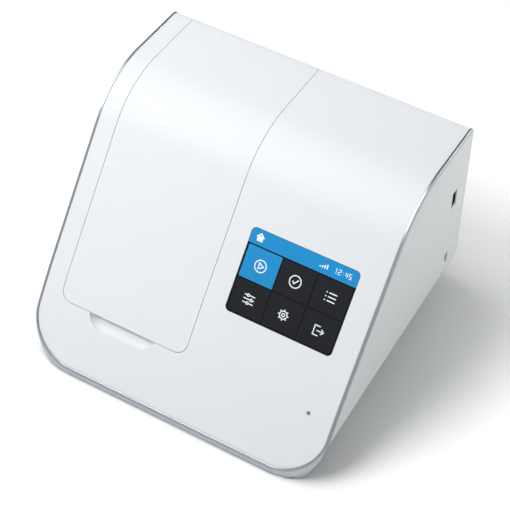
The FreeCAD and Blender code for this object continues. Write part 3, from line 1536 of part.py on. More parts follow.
def make_lock_plate():
    half = lock_plate_width / 2
    rise = lock_plate_height / 2
    plate = box(inner_x - lock_plate_thickness, inner_x, lock_y - half, lock_y + half,
                lock_height - rise, lock_height + rise)
    plate = plate.cut(lock_slot(inner_x - overrun, inner_x + overrun, bore_clearance))
    for side in (-1, 1):
        z = lock_height + side * (rise - 2 * lock_peg_radius)
        plate = plate.cut(rod(lock_peg_radius + bore_clearance, Vector(0, lock_y, z),
                              Vector(inner_x, lock_y, z)))
    return plate


save("rear_housing", make_housing())
save("trim_band", make_trim())
save("front_cover", make_cover())
save("base_tray", make_tray())
save("rubber_feet", make_feet())
save("base_screws", make_base_screws())

save("lid_shell", make_lid_shell())
save("lid_liner", make_liner())
lid_screw_length = liner_thickness + liner_gap + lid_screw_bite - bore_clearance
save("lid_screws", slope_screws(lid_screw_places(), lid_screw_radius, lid_screw_length,
                                lid_screw_head_radius, lid_screw_head_height, liner_bottom))
save("hinge_brackets", make_brackets())
save("hinge_pins", make_pins())
bracket_screw = screw(heater_screw_radius, hinge_shelf_drop + well_wall, heater_screw_head_radius,
                      heater_screw_head_height)
bracket_screws = [aimed(bracket_screw, place, Vector(0, 0, 1)) for place in bracket_screw_places()]
save("hinge_screws", Part.makeCompound(bracket_screws))

magnets = []
catches = []
for x, t in magnet_places:
    ceiling = -skin_drop(t) - cover_thickness + magnet_thickness - bore_clearance
    magnets.append(slope_rod(magnet_radius, x, t, ceiling - magnet_thickness + bore_clearance, ceiling))
    floor = -skin_drop(t) - ledge_top - catch_thickness + bore_clearance
    catches.append(slope_rod(catch_radius, x, t, floor, floor + catch_thickness - 2 * bore_clearance))
save("lid_magnets", Part.makeCompound(magnets))
save("catch_plates", Part.makeCompound(catches))
bumpers = []
for x, t in bumper_places:
    floor = -ledge_top + bumper_proud - bumper_height + bore_clearance
    bumpers.append(slope_rod(bumper_radius, x, t, floor, -ledge_top + bumper_proud))
save("lid_bumpers", Part.makeCompound(bumpers))

save("well_tub", make_tub())
save("test_base_holder", make_holder(base_middle_y, well_floor, base_holder_width, base_holder_depth,
                                     base_holder_height, base_pocket_width, base_pocket_depth))
save("receiver_holder", make_holder(receiver_middle_y, well_shelf, receiver_holder_width,
                                    receiver_holder_depth, receiver_holder_height,
                                    receiver_pocket_width, receiver_pocket_depth))
film_drop = bore_clearance
foam_drop = film_drop + heater_film_thickness + insulation_gap
first_heater = make_heater(*heaters[0])
first_film = under_heater(*heaters[0], film_drop, heater_film_thickness)
first_foam = under_heater(*heaters[0], foam_drop, insulation_thickness)
light_low = optics_top
save("base_heater_block", without(first_heater, light_holes(light_low, well_floor + overrun)))
save("receiver_heater_block", make_heater(*heaters[1]))
save("heater_films", Part.makeCompound([without(first_film, light_holes(light_low, well_floor)),
                                        under_heater(*heaters[1], film_drop, heater_film_thickness)]))
save("heater_insulation", Part.makeCompound([without(first_foam, light_holes(light_low, well_floor)),
                                             under_heater(*heaters[1], foam_drop, insulation_thickness)]))
save("heater_screws", heater_screws())
save("temperature_sensors", Part.makeCompound([make_sensor(*heater) for heater in heaters]))

save("optics_housing", make_optics_housing())
save("collection_lenses", make_lenses())
save("emission_filters", channel_discs(filter_drop, filter_thickness))
save("excitation_leds", bore_discs(bore_clearance, led_length))
save("excitation_filters", bore_discs(led_length + filter_thickness, filter_thickness))
save("photodiodes", make_photodiodes())
save("optics_board", centred_box(base_middle_y, optics_width - optics_board_margin,
                                 optics_depth - optics_board_margin,
                                 optics_low - board_thickness, optics_low))
save("optics_screws", optics_screws())

save("touch_glass", slope_block(display_left, display_right, display_low, display_high,
                                glass_bottom, -glass_recess, display_corner_radius))
save("display_gasket", make_gasket())
save("lcd_panel", slope_block(display_left - lcd_side_lap, display_right + lcd_side_lap,
                              display_low - lcd_end_lap, display_high + lcd_end_lap,
                              lcd_bottom, lcd_top, status_radius))
save("display_frame", make_display_frame())
save("display_screws", slope_screws(display_corners(), display_screw_radius, display_screw_length,
                                    display_screw_head_radius, display_screw_head_height,
                                    -lcd_bottom + seat_gap + frame_thickness))
display_ribbon, ribbon_y, ribbon_x = make_display_ribbon()
save("display_ribbon", display_ribbon)
save("status_lens", make_status_lens())
save("status_board", make_status_board())

save("main_board", make_main_board())
save("main_board_screws", make_main_screws())
save("board_chips", make_chips())
ribbon_header = header(ribbon_x - ribbon_thickness, ribbon_x + display_ribbon_width + ribbon_thickness,
                       ribbon_y, main_board_top + header_height)
optics_header = header(well_middle - header_length / 2, well_middle + header_length / 2, base_middle_y,
                       optics_low - board_thickness - bore_clearance)
save("board_headers", Part.makeCompound([ribbon_header, optics_header]))
save("cell_cup", make_cell_cup())
save("coin_cell", make_cell())
save("speaker", make_speaker())

save("io_board", make_io_board())
save("io_screws", make_io_screws())
save("rear_usb_sockets", make_rear_usb())
save("network_socket", make_network())
save("network_contacts", make_network_pins())
save("power_jack", make_power_jack())
save("power_switch", make_switch())
save("power_button", make_button())
save("side_usb_socket", make_side_usb())
save("side_usb_board", make_side_board())
save("lock_plate", make_lock_plate())
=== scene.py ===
import json
import math

import bpy
import numpy as np
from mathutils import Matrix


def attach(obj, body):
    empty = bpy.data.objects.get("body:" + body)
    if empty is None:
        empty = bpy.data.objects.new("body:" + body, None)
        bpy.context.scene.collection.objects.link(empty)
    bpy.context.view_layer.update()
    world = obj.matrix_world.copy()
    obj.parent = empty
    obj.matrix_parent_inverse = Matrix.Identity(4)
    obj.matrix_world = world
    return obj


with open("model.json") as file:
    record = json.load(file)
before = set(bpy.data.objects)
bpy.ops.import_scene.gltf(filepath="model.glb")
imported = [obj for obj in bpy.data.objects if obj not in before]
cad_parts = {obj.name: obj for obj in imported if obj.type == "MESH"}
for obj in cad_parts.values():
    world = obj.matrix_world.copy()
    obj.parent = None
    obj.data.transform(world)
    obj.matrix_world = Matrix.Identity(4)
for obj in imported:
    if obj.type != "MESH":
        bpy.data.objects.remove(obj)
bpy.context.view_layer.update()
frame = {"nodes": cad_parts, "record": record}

mm = 0.001      # sizes are in millimetres unless a note says metres


# The case's side line, the same as in the solids, with its angles in degrees.
caseLine = {
    "depth": 194.0,
    "toeHeight": 5.5,
    "toeAngle": 58.2,
    "slopeAngle": 48.85,
    "toeRadius": 393.0,
    "trimWidth": 2.5,
}
toeTurn = math.radians(caseLine["toeAngle"])
slopeTurn = math.radians(caseLine["slopeAngle"])
toeY = -caseLine["depth"] / 2 + caseLine["trimWidth"] * math.cos(toeTurn)
toeCentre = (toeY + caseLine["toeRadius"] * math.sin(toeTurn),
             caseLine["toeHeight"] - caseLine["toeRadius"] * math.cos(toeTurn))
slopeStart = (toeCentre[0] - caseLine["toeRadius"] * math.sin(slopeTurn),
              toeCentre[1] + caseLine["toeRadius"] * math.cos(slopeTurn))
toeArc = caseLine["toeRadius"] * (toeTurn - slopeTurn)


# A flat point (sideways, up the slope, out of it) becomes a place on the slope in metres:
# the slope's start, plus the last two steps turned by the slope's angle.
def onSlope(flat):
    x, up, out = flat[..., 0], flat[..., 1], flat[..., 2]
    y = slopeStart[0] + up * math.cos(slopeTurn) - out * math.sin(slopeTurn)
    z = slopeStart[1] + up * math.sin(slopeTurn) + out * math.cos(slopeTurn)
    return np.stack([x, y, z], axis=-1) * mm


# A flat point (sideways, up, out) becomes a place on the back wall in metres. Sideways is mirrored, as seen
# from behind, and out is added to the wall's face.
def onBack(flat, faceY):
    return np.stack([-flat[..., 0], faceY + flat[..., 2], flat[..., 1]], axis=-1) * mm


# Flat points, two numbers each, get one level as their third number.
def atLevel(flat, level):
    return np.concatenate([flat, np.full(flat.shape[:-1] + (1,), level)], axis=-1)


# Joins grids of points into one mesh. Each grid holds rows of points, and a cell of four neighbours
# is a face.
def gridObject(name, grids, finish):
    points, faces, start = [], [], 0
    for grid in grids:
        rows, columns = grid.shape[:2]
        index = np.arange(rows * columns).reshape(rows, columns) + start
        corners = [index[:-1, :-1], index[:-1, 1:], index[1:, 1:], index[1:, :-1]]
        faces.append(np.stack(corners, axis=-1).reshape(-1, 4))
        points.append(grid.reshape(-1, 3))
        start += rows * columns
    mesh = bpy.data.meshes.new(name)
    mesh.from_pydata(np.concatenate(points).tolist(), [], np.concatenate(faces).tolist())
    mesh.validate()
    made = bpy.data.objects.new(name, mesh)
    made.data.materials.append(finish)
    bpy.context.scene.collection.objects.link(made)
    return made


# Rounded rectangle: each ring is the outline drawn a share of the way towards a short line in the middle. The
# outline is four quarter circles joined by straight edges.
def roundedPatch(x0, x1, y0, y1, radius, level, rings=3, cornerSteps=6):
    turn = np.linspace(0, math.pi / 2, cornerSteps)
    corners = [(x1 - radius, y1 - radius, 0), (x0 + radius, y1 - radius, 1),
               (x0 + radius, y0 + radius, 2), (x1 - radius, y0 + radius, 3)]
    outline = np.concatenate([np.stack([cx + radius * np.cos(turn + k * math.pi / 2),
                                        cy + radius * np.sin(turn + k * math.pi / 2)], axis=-1)
                              for cx, cy, k in corners])
    outline = np.vstack([outline, outline[:1]])
    middle = np.array([(x0 + x1) / 2, (y0 + y1) / 2])
    half = np.array([max(x1 - x0 - (y1 - y0), 0), max(y1 - y0 - (x1 - x0), 0)]) / 2
    coreShare = 0.999       # just short of the middle line, so that no face closes to nothing
    core = middle + np.clip(outline - middle, -half, half) * coreShare
    share = np.linspace(0, 1, rings)[:, None, None]
    return atLevel(outline[None] * (1 - share) + core[None] * share, level)


# Flat band along a line of points: each point goes half the width to both sides, square to the mean of the
# steps before and after it, and further at a bend so that the width stays.
def band(points, width, level):
    line = np.asarray(points, float)
    step = np.diff(line, axis=0)
    step /= np.linalg.norm(step, axis=1)[:, None]
    before = np.vstack([step[:1], step])
    after = np.vstack([step, step[-1:]])
    along = before + after
    # A full turn back has no mean, and a sharp bend stops at twice the width.
    tiny, leastCosine = 1e-6, 0.5
    along /= np.maximum(np.linalg.norm(along, axis=1), tiny)[:, None]
    stretch = 1 / np.maximum((along * before).sum(axis=1), leastCosine)
    aside = np.stack([-along[:, 1], along[:, 0]], axis=-1) * (width / 2 * stretch)[:, None]
    return atLevel(np.stack([line + aside, line - aside], axis=0), level)


# Part of a ring: points on a circle from one angle to another, in degrees.
def arcPoints(cx, cy, radius, start, end, steps=20):
    turn = np.radians(np.linspace(start, end, steps))
    return np.stack([cx + radius * np.cos(turn), cy + radius * np.sin(turn)], axis=-1)


# A new finish, its nodes, its links and its shader.
def startFinish(name):
    finish = bpy.data.materials.new(name)
    finish.use_nodes = True
    shader = finish.node_tree.nodes["Principled BSDF"]
    return finish, finish.node_tree.nodes, finish.node_tree.links, shader


# A texture node of one kind and scale over the solid's own coordinates.
def ownTexture(nodes, links, kind, scale):
    place = nodes.new("ShaderNodeTexCoord")
    texture = nodes.new(kind)
    texture.inputs["Scale"].default_value = scale
    links.new(place.outputs["Object"], texture.inputs["Vector"])
    return texture


# A number that goes straight from one end to the other as the value goes through its range, or softly
# at both ends.
def numberBetween(nodes, links, value, low, high, start=0.0, end=1.0, soft=False):
    line = nodes.new("ShaderNodeMapRange")
    line.interpolation_type = "SMOOTHSTEP" if soft else "LINEAR"
    for name, number in (("From Min", start), ("From Max", end), ("To Min", low), ("To Max", high)):
        line.inputs[name].default_value = number
    links.new(value, line.inputs["Value"])
    return line.outputs["Result"]


# A colour between two others: the first where the value is 0, the second where it is 1.
def colourBetween(nodes, links, value, first, second):
    mix = nodes.new("ShaderNodeMix")
    mix.data_type = "RGBA"
    mix.inputs[6].default_value = (*first, 1)
    mix.inputs[7].default_value = (*second, 1)
    links.new(value, mix.inputs[0])
    return mix.outputs[2]


# Two values joined into one: the larger of them, or their product.
def joined(nodes, links, operation, first, second):
    both = nodes.new("ShaderNodeMath")
    both.operation = operation
    links.new(first, both.inputs[0])
    links.new(second, both.inputs[1])
    return both.outputs[0]


# A colour made lighter or darker by a factor, and no lighter than full.
def scaled(colour, factor):
    return [min(c * factor, 1) for c in colour]


# Fine relief whose height follows a value.
def addRelief(nodes, links, shader, height, strength, depth):
    relief = nodes.new("ShaderNodeBump")
    relief.inputs["Strength"].default_value = strength
    relief.inputs["Distance"].default_value = depth * mm
    links.new(height, relief.inputs["Height"])
    links.new(relief.outputs["Normal"], shader.inputs["Normal"])
    return relief


# Rounds the edges for the light alone, under the relief.
def softenEdges(nodes, links, relief, radius, samples):
    soft = nodes.new("ShaderNodeBevel")
    soft.samples = samples
    soft.inputs["Radius"].default_value = radius * mm
    links.new(soft.outputs["Normal"], relief.inputs["Normal"])


# What all moulded surfaces share. Scales are counts in a metre.
moulded = {
    "cloudScale": 28.0,
    "cloudDetail": 3.0,
    "glossBelow": 0.03,
    "glossAbove": 0.05,
    "grainDetail": 2.0,
    "grainDepth": 0.02,
    "coatGloss": 0.08,
    "edgeSamples": 6,
}


# Moulded or sprayed surface. Noise moves the colour up and down by the share in clouds, and the gloss with
# it. A finer noise is the grain.
def mouldedFinish(name, colour, gloss, grain=0.25, grainSize=0.35, clouds=0.02, edge=0.4, metallic=0.0,
                  coat=0.0, specular=0.5):
    finish, nodes, links, shader = startFinish(name)
    cloud = ownTexture(nodes, links, "ShaderNodeTexNoise", moulded["cloudScale"])
    cloud.inputs["Detail"].default_value = moulded["cloudDetail"]
    value = cloud.outputs["Fac"]
    tint = colourBetween(nodes, links, value, scaled(colour, 1 - clouds), scaled(colour, 1 + clouds))
    links.new(tint, shader.inputs["Base Color"])
    rough = numberBetween(nodes, links, value, gloss - moulded["glossBelow"], gloss + moulded["glossAbove"])
    links.new(rough, shader.inputs["Roughness"])
    speck = ownTexture(nodes, links, "ShaderNodeTexNoise", 1 / (grainSize * mm))
    speck.inputs["Detail"].default_value = moulded["grainDetail"]
    relief = addRelief(nodes, links, shader, speck.outputs["Fac"], grain, moulded["grainDepth"])
    softenEdges(nodes, links, relief, edge, moulded["edgeSamples"])
    shader.inputs["Metallic"].default_value = metallic
    shader.inputs["Specular IOR Level"].default_value = specular
    shader.inputs["Coat Weight"].default_value = coat
    shader.inputs["Coat Roughness"].default_value = moulded["coatGloss"]
    return finish


# What all brushed metals share.
brushed = {
    "lineScale": 900.0,
    "lineDetail": 4.0,
    "darkest": 0.88,
    "glossBelow": 0.06,
    "glossAbove": 0.10,
    "strength": 0.15,
    "depth": 0.01,
    "edge": 0.25,
    "edgeSamples": 4,
}


# Metal with fine drawn lines: noise stretched along one direction moves its colour, gloss and relief.
def brushedFinish(name, colour, gloss, stretch=(1, 1, 12)):
    finish, nodes, links, shader = startFinish(name)
    place = nodes.new("ShaderNodeTexCoord")
    turn = nodes.new("ShaderNodeMapping")
    turn.inputs["Scale"].default_value = stretch
    links.new(place.outputs["Object"], turn.inputs["Vector"])
    lines = nodes.new("ShaderNodeTexNoise")
    lines.inputs["Scale"].default_value = brushed["lineScale"]
    lines.inputs["Detail"].default_value = brushed["lineDetail"]
    links.new(turn.outputs["Vector"], lines.inputs["Vector"])
    value = lines.outputs["Fac"]
    tone = colourBetween(nodes, links, value, scaled(colour, brushed["darkest"]), colour)
    links.new(tone, shader.inputs["Base Color"])
    rough = numberBetween(nodes, links, value, gloss - brushed["glossBelow"], gloss + brushed["glossAbove"])
    links.new(rough, shader.inputs["Roughness"])
    relief = addRelief(nodes, links, shader, value, brushed["strength"], brushed["depth"])
    softenEdges(nodes, links, relief, brushed["edge"], brushed["edgeSamples"])
    shader.inputs["Metallic"].default_value = 1.0
    return finish


# Circuit boards: the tracks' scale and width, and how far their colours part.
board = {
    "trackScale": 260.0,
    "trackWidth": 0.03,
    "darker": 0.85,
    "lighter": 1.9,
    "strength": 0.3,
    "depth": 0.03,
    "gloss": 0.32,
}


# Circuit board: lacquer over faint straight tracks, which are the joints of a brick pattern.
def boardFinish(name, colour):
    finish, nodes, links, shader = startFinish(name)
    tracks = ownTexture(nodes, links, "ShaderNodeTexBrick", board["trackScale"])
    tracks.inputs["Mortar Size"].default_value = board["trackWidth"]
    tracks.inputs["Color1"].default_value = (*colour, 1)
    tracks.inputs["Color2"].default_value = (*scaled(colour, board["darker"]), 1)
    tracks.inputs["Mortar"].default_value = (*scaled(colour, board["lighter"]), 1)
    links.new(tracks.outputs["Color"], shader.inputs["Base Color"])
    addRelief(nodes, links, shader, tracks.outputs["Fac"], board["strength"], board["depth"])
    shader.inputs["Roughness"].default_value = board["gloss"]
    return finish


# The display's light.
lit = {
    "lowest": 0.066,        # the picture's lower and upper ends above the table, in metres
    "highest": 0.108,
    "fall": 0.10,
    "dotSize": 0.30,
    "dotShare": 0.12,
    "gloss": 0.20,
    "specular": 0.25,
}


# Picture on the display: the colour brightens with height, fine dots darken it by a share, and it glows
# a little.
def litFinish(name, colour, light):
    finish, nodes, links, shader = startFinish(name)
    dots = ownTexture(nodes, links, "ShaderNodeTexVoronoi", 1 / (lit["dotSize"] * mm))
    dots.inputs["Randomness"].default_value = 0.0
    place = nodes.new("ShaderNodeTexCoord")
    axes = nodes.new("ShaderNodeSeparateXYZ")
    links.new(place.outputs["Object"], axes.inputs["Vector"])
    height = numberBetween(nodes, links, axes.outputs["Z"], 0.0, 1.0, lit["lowest"], lit["highest"])
    tone = colourBetween(nodes, links, height, scaled(colour, 1 - lit["fall"]),
                         scaled(colour, 1 + lit["fall"]))
    grid = nodes.new("ShaderNodeMix")
    grid.data_type = "RGBA"
    grid.blend_type = "MULTIPLY"
    grid.inputs[0].default_value = lit["dotShare"]
    links.new(tone, grid.inputs[6])
    links.new(dots.outputs["Distance"], grid.inputs[7])
    links.new(grid.outputs[2], shader.inputs["Base Color"])
    links.new(grid.outputs[2], shader.inputs["Emission Color"])
    shader.inputs["Emission Strength"].default_value = light
    shader.inputs["Roughness"].default_value = lit["gloss"]
    shader.inputs["Specular IOR Level"].default_value = lit["specular"]
    return finish


# Glass: how clear it is, and the smear in its gloss.
glass = {
    "smearScale": 60.0,
    "gloss": 0.03,
    "smearGloss": 0.05,
    "clear": 0.85,
}


# Clear or coloured glass with a faint smear in its gloss.
def glassFinish(name, colour):
    finish, nodes, links, shader = startFinish(name)
    smear = ownTexture(nodes, links, "ShaderNodeTexNoise", glass["smearScale"])
    rough = numberBetween(nodes, links, smear.outputs["Fac"], glass["gloss"],
                          glass["gloss"] + glass["smearGloss"])
    links.new(rough, shader.inputs["Roughness"])
    shader.inputs["Base Color"].default_value = (*colour, 1)
    shader.inputs["Transmission Weight"].default_value = glass["clear"]
    return finish


# Pores in foam and rubber.
pore = {
    "darkest": 0.6,
    "strength": 0.4,
    "depth": 0.1,
    "gloss": 0.85,
}


# Foam or rubber with open pores: the distance to the nearest pore's middle sets its colour and relief.
def poreFinish(name, colour, poreSize):
    finish, nodes, links, shader = startFinish(name)
    pores = ownTexture(nodes, links, "ShaderNodeTexVoronoi", 1 / (poreSize * mm))
    value = pores.outputs["Distance"]
    tone = colourBetween(nodes, links, value, scaled(colour, pore["darkest"]), colour)
    links.new(tone, shader.inputs["Base Color"])
    addRelief(nodes, links, shader, value, pore["strength"], pore["depth"])
    shader.inputs["Roughness"].default_value = pore["gloss"]
    return finish


# One finish for each material of the solids.
finishes = {
    "white_cover": mouldedFinish("whiteCover", (0.85, 0.87, 0.895), 0.52, grain=0.18, grainSize=0.30,
                                 clouds=0.008, edge=0.2),
    "grey_trim": mouldedFinish("greyTrim", (0.42, 0.445, 0.47), 0.30, grain=0.2, clouds=0.04, edge=0.7,
                               metallic=1.0),
    "light_housing": mouldedFinish("lightHousing", (0.70, 0.725, 0.725), 0.60, grain=0.45, grainSize=0.45,
                                   clouds=0.02, edge=0.5),
    "well_white": mouldedFinish("wellWhite", (0.78, 0.80, 0.81), 0.48, grain=0.3, clouds=0.015, edge=0.5),
    "orange_holder": mouldedFinish("orangeHolder", (0.80, 0.20, 0.02), 0.42, grain=0.3, clouds=0.03,
                                   edge=0.4),
    "blue_holder": mouldedFinish("blueHolder", (0.03, 0.16, 0.50), 0.42, grain=0.3, clouds=0.03, edge=0.4),
    "black_plastic": mouldedFinish("blackPlastic", (0.022, 0.022, 0.024), 0.45, grain=0.3, clouds=0.1,
                                   edge=0.2),
    "screen_glass": mouldedFinish("screenGlass", (0.005, 0.006, 0.009), 0.14, grain=0.0, clouds=0.05,
                                  edge=0.25, specular=0.2),
    "clear_glass": glassFinish("clearGlass", (0.92, 0.96, 0.96)),
    "filter_glass": glassFinish("filterGlass", (0.40, 0.18, 0.60)),
    "grey_lens": mouldedFinish("greyLens", (0.20, 0.22, 0.23), 0.22, grain=0.0, clouds=0.05, edge=0.15,
                               coat=0.4),
    "rubber_foot": poreFinish("footRubber", (0.035, 0.035, 0.035), 0.5),
    "steel": brushedFinish("plainSteel", (0.58, 0.58, 0.59), 0.30),
    "aluminium": brushedFinish("milledAluminium", (0.76, 0.77, 0.79), 0.34, stretch=(1, 10, 1)),
    "nickel": brushedFinish("nickelPlate", (0.66, 0.65, 0.62), 0.20, stretch=(1, 4, 1)),
    "brass": brushedFinish("goldPlate", (0.85, 0.62, 0.25), 0.22),
    "green_board": boardFinish("greenBoard", (0.015, 0.13, 0.05)),
    "amber_film": mouldedFinish("amberFilm", (0.50, 0.20, 0.02), 0.18, grain=0.1, clouds=0.06, edge=0.1),
    "foam": poreFinish("blackFoam", (0.06, 0.06, 0.06), 0.9),
    "flat_cable": mouldedFinish("flatCable", (0.80, 0.80, 0.76), 0.30, grain=0.1, clouds=0.02, edge=0.1),
}
for row in frame["record"]["subparts"]:
    node = frame["nodes"][row["node"]]
    node.data.materials.clear()
    node.data.materials.append(finishes[row["material_slot"]])
print("finishes set on", len(frame["nodes"]), "solids")


# Display picture: flat patches just above the glass, whose place is measured along the case's side line.
display = {
    "left": 15.15,
    "right": 86.90,
    "low": 78.7 - toeArc,
    "high": 78.7 + 53.4 - toeArc,
    "glassTop": -0.3,
    "corner": 3.0,
    "cornerSteps": 8,
    "lift": 0.02,
    "barHeight": 9.7,
    "barBorder": 0.12,
    "border": 1.2,
    "columns": 3,
    "rows": 2,
    "tileGap": 0.9,
    "tileCorner": 0.5,
}
barBlue = litFinish("barBlue", (0.014, 0.27, 0.60), 0.10)
tileBlue = litFinish("tileBlue", (0.016, 0.28, 0.62), 0.10)
tileDark = litFinish("tileDark", (0.013, 0.014, 0.019), 0.05)
markWhite = litFinish("markWhite", (0.80, 0.84, 0.88), 0.25)
pictureLevel = display["glassTop"] + display["lift"]
barLow = display["high"] - display["barHeight"]
barHigh = display["high"] - display["barBorder"]


# A piece of the display: flat grids laid on the slope.
def screenPiece(name, grids, finish):
    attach(gridObject(name, [onSlope(grid) for grid in grids], finish), "case")


# The bar runs along the glass's rounded top edge: its upper line follows the corners, and its lower line
# is straight.
def makeBar():
    left, right = display["left"] + display["barBorder"], display["right"] - display["barBorder"]
    radius = display["corner"] - display["barBorder"]
    turn = np.linspace(0, math.pi / 2, display["cornerSteps"])
    aside, rise = radius - radius * np.cos(turn), radius * np.sin(turn) - radius
    leftCorner = np.stack([left + aside, barHigh + rise], axis=-1)
    rightCorner = np.stack([right - aside, barHigh + rise], axis=-1)
    upper = np.vstack([[left, barLow], leftCorner, rightCorner[::-1], [right, barLow]])
    lower = np.stack([upper[:, 0], np.full(len(upper), barLow)], axis=-1)
    screenPiece("screenBar", [atLevel(np.stack([lower, upper], axis=0), pictureLevel)], barBlue)


# Tiles in rows and columns: the field under the bar, less the gaps, is shared out evenly. The first is the
# chosen one. The tiles' middles come back.
def makeTiles():
    gap = display["tileGap"]
    left, right = display["left"] + display["border"], display["right"] - display["border"]
    low, high = display["low"] + display["border"], barLow - gap
    wide = (right - left - (display["columns"] - 1) * gap) / display["columns"]
    tall = (high - low - (display["rows"] - 1) * gap) / display["rows"]
    tiles, middles = [], []
    for place in range(display["columns"] * display["rows"]):
        row, column = divmod(place, display["columns"])
        x0 = left + column * (wide + gap)
        y0 = high - tall - row * (tall + gap)
        tiles.append(roundedPatch(x0, x0 + wide, y0, y0 + tall, display["tileCorner"], pictureLevel))
        middles.append((x0 + wide / 2, y0 + tall / 2))
    screenPiece("screenTiles", tiles[1:], tileDark)
    screenPiece("screenTileChosen", tiles[:1], tileBlue)
    return middles


makeBar()
tileMiddles = makeTiles()


# The tiles' signs: each is a list of lines about the origin, some of them listed points. These are
# the circles' sizes and the lines' reach.
signs = {
    "ring": 4.6,
    "ringSteps": 40,
    "reach": 4.4,
    "rowPitch": 3.0,
    "dotEnd": -3.4,
    "rowStart": -2.0,
    "knobs": (-1.4, 2.0, -0.4),
    "knobRadius": 0.9,
    "knobGap": 1.0,
    "knobSteps": 20,
    "gear": 3.0,
    "gearSteps": 36,
    "gearHole": 1.2,
    "teeth": 8,
    "toothStart": 3.2,
}


# A roof's line over three walls' lines and a filled door.
def houseSign():
    roof = [(-2.1, 0.1), (0, 2.0), (2.1, 0.1)]
    walls = [(-1.3, 0.2), (-1.3, -1.7), (1.3, -1.7), (1.3, 0.2)]
    return [roof, walls, [(0, 0.9), (0, -1.7)], [(-0.7, 0.6), (-0.7, -1.7)], [(0.7, 0.6), (0.7, -1.7)]]


# The full circle round a sign.
def ringLine():
    return arcPoints(0, 0, signs["ring"], 0, 360, signs["ringSteps"])


# A triangle in a ring.
def startSign():
    return [ringLine(), [(-1.5, -2.3), (-1.5, 2.3), (2.4, 0), (-1.5, -2.3), (-1.5, 0)]]


# A tick in a ring.
def checkSign():
    return [ringLine(), [(-2.2, 0.1), (-0.7, -1.7), (2.4, 2.0)]]


# Three rows one pitch apart, each a short dash and a long one.
def listSign():
    lines = []
    for row in (1, 0, -1):
        y = row * signs["rowPitch"]
        lines.append([(-signs["reach"], y), (signs["dotEnd"], y)])
        lines.append([(signs["rowStart"], y), (signs["reach"], y)])
    return lines


# Three rows one pitch apart, each broken by a small circle at its knob.
def sliderSign():
    lines = []
    for row, knob in zip((1, 0, -1), signs["knobs"]):
        y = row * signs["rowPitch"]
        lines.append([(-signs["reach"], y), (knob - signs["knobGap"], y)])
        lines.append([(knob + signs["knobGap"], y), (signs["reach"], y)])
        lines.append(arcPoints(knob, y, signs["knobRadius"], 0, 360, signs["knobSteps"]))
    return lines


# Two circles and teeth: each tooth is a line outwards at its share of a full turn.
def gearSign():
    lines = [arcPoints(0, 0, signs["gear"], 0, 360, signs["gearSteps"]),
             arcPoints(0, 0, signs["gearHole"], 0, 360, signs["knobSteps"])]
    ends = (signs["toothStart"], signs["reach"])
    for k in range(signs["teeth"]):
        turn = k * 2 * math.pi / signs["teeth"]
        lines.append([(r * math.cos(turn), r * math.sin(turn)) for r in ends])
    return lines


# A door's open frame and an arrow out of it.
def leaveSign():
    door = [(0.8, 3.6), (-3.6, 3.6), (-3.6, -3.6), (0.8, -3.6)]
    return [door, [(-1.4, 0), (4.2, 0)], [(2.2, 2.0), (4.3, 0), (2.2, -2.0)]]


# The clock's figures as lines on a cell 1 wide and 2 tall.
figureLines = {
    "1": [[(0.2, 1.6), (0.6, 2), (0.6, 0)]],
    "2": [[(0, 2), (1, 2), (1, 1.1), (0, 0.9), (0, 0), (1, 0)]],
    "4": [[(0, 2), (0, 0.9), (1, 0.9)], [(0.8, 2), (0.8, 0)]],
    "5": [[(1, 2), (0, 2), (0, 1.1), (1, 0.9), (1, 0), (0, 0)]],
    ":": [[(0.4, 1.5), (0.6, 1.5)], [(0.4, 0.5), (0.6, 0.5)]],
}

marks = {
    "share": 0.8,
    "stroke": 0.68,
    "houseShare": 1.15,
    "houseStroke": 0.85,
    "houseInset": 6.5,
    "clock": "12:45",
    "clockInset": 15.5,
    "clockSize": 1.45,
    "clockPitch": 2.3,
    "clockStroke": 0.42,
    "barsInset": 25.0,
    "barsCount": 4,
    "barsPitch": 1.5,
    "barsStroke": 0.8,
    "barsStep": 0.65,
}


# Bands for a sign's lines: each line is scaled about its origin and carried to a place.
def placedBands(lines, share, x, y, stroke):
    level = pictureLevel + display["lift"]
    return [band(np.asarray(line, float) * share + np.array([x, y]), stroke, level) for line in lines]


# One sign in the middle of each tile. The bar holds a house, rising strength bars and the clock, whose
# figures stand one pitch apart.
def makeSigns():
    bands = []
    chosen = [startSign(), checkSign(), listSign(), sliderSign(), gearSign(), leaveSign()]
    for (x, y), lines in zip(tileMiddles, chosen):
        bands += placedBands(lines, marks["share"], x, y, marks["stroke"])
    middle = (barLow + barHigh) / 2
    houseX = display["left"] + marks["houseInset"]
    bands += placedBands(houseSign(), marks["houseShare"], houseX, middle, marks["houseStroke"])
    foot = middle - marks["clockSize"]
    for k, figure in enumerate(marks["clock"]):
        x = display["right"] - marks["clockInset"] + k * marks["clockPitch"]
        bands += placedBands(figureLines[figure], marks["clockSize"], x, foot, marks["clockStroke"])
    for k in range(marks["barsCount"]):
        x = display["right"] - marks["barsInset"] + k * marks["barsPitch"]
        tall = marks["barsStroke"] + marks["barsStep"] * k
        bands += placedBands([[(0, 0), (0, tall)]], 1, x, foot, marks["barsStroke"])
    screenPiece("screenSigns", bands, markWhite)


makeSigns()
print("display drawn")


# Contacts on the tongues of the wide sockets, where the solids have them.
sockets = {
    "contactWidth": 1.0,
    "contactLength": 6.5,
    "contactPitch": 2.4,
    "contactRecess": 1.6,
    "contactSteps": (-1.5, -0.5, 0.5, 1.5),
    "tongueFace": 0.32,
    "rearPlaces": (56.0, 76.0),
    "rearFace": 96.2,
    "rearHeight": 48.0,
    "sideFace": 103.1,
    "sideDepth": 77.8,
    "sideHeight": 94.0,
}


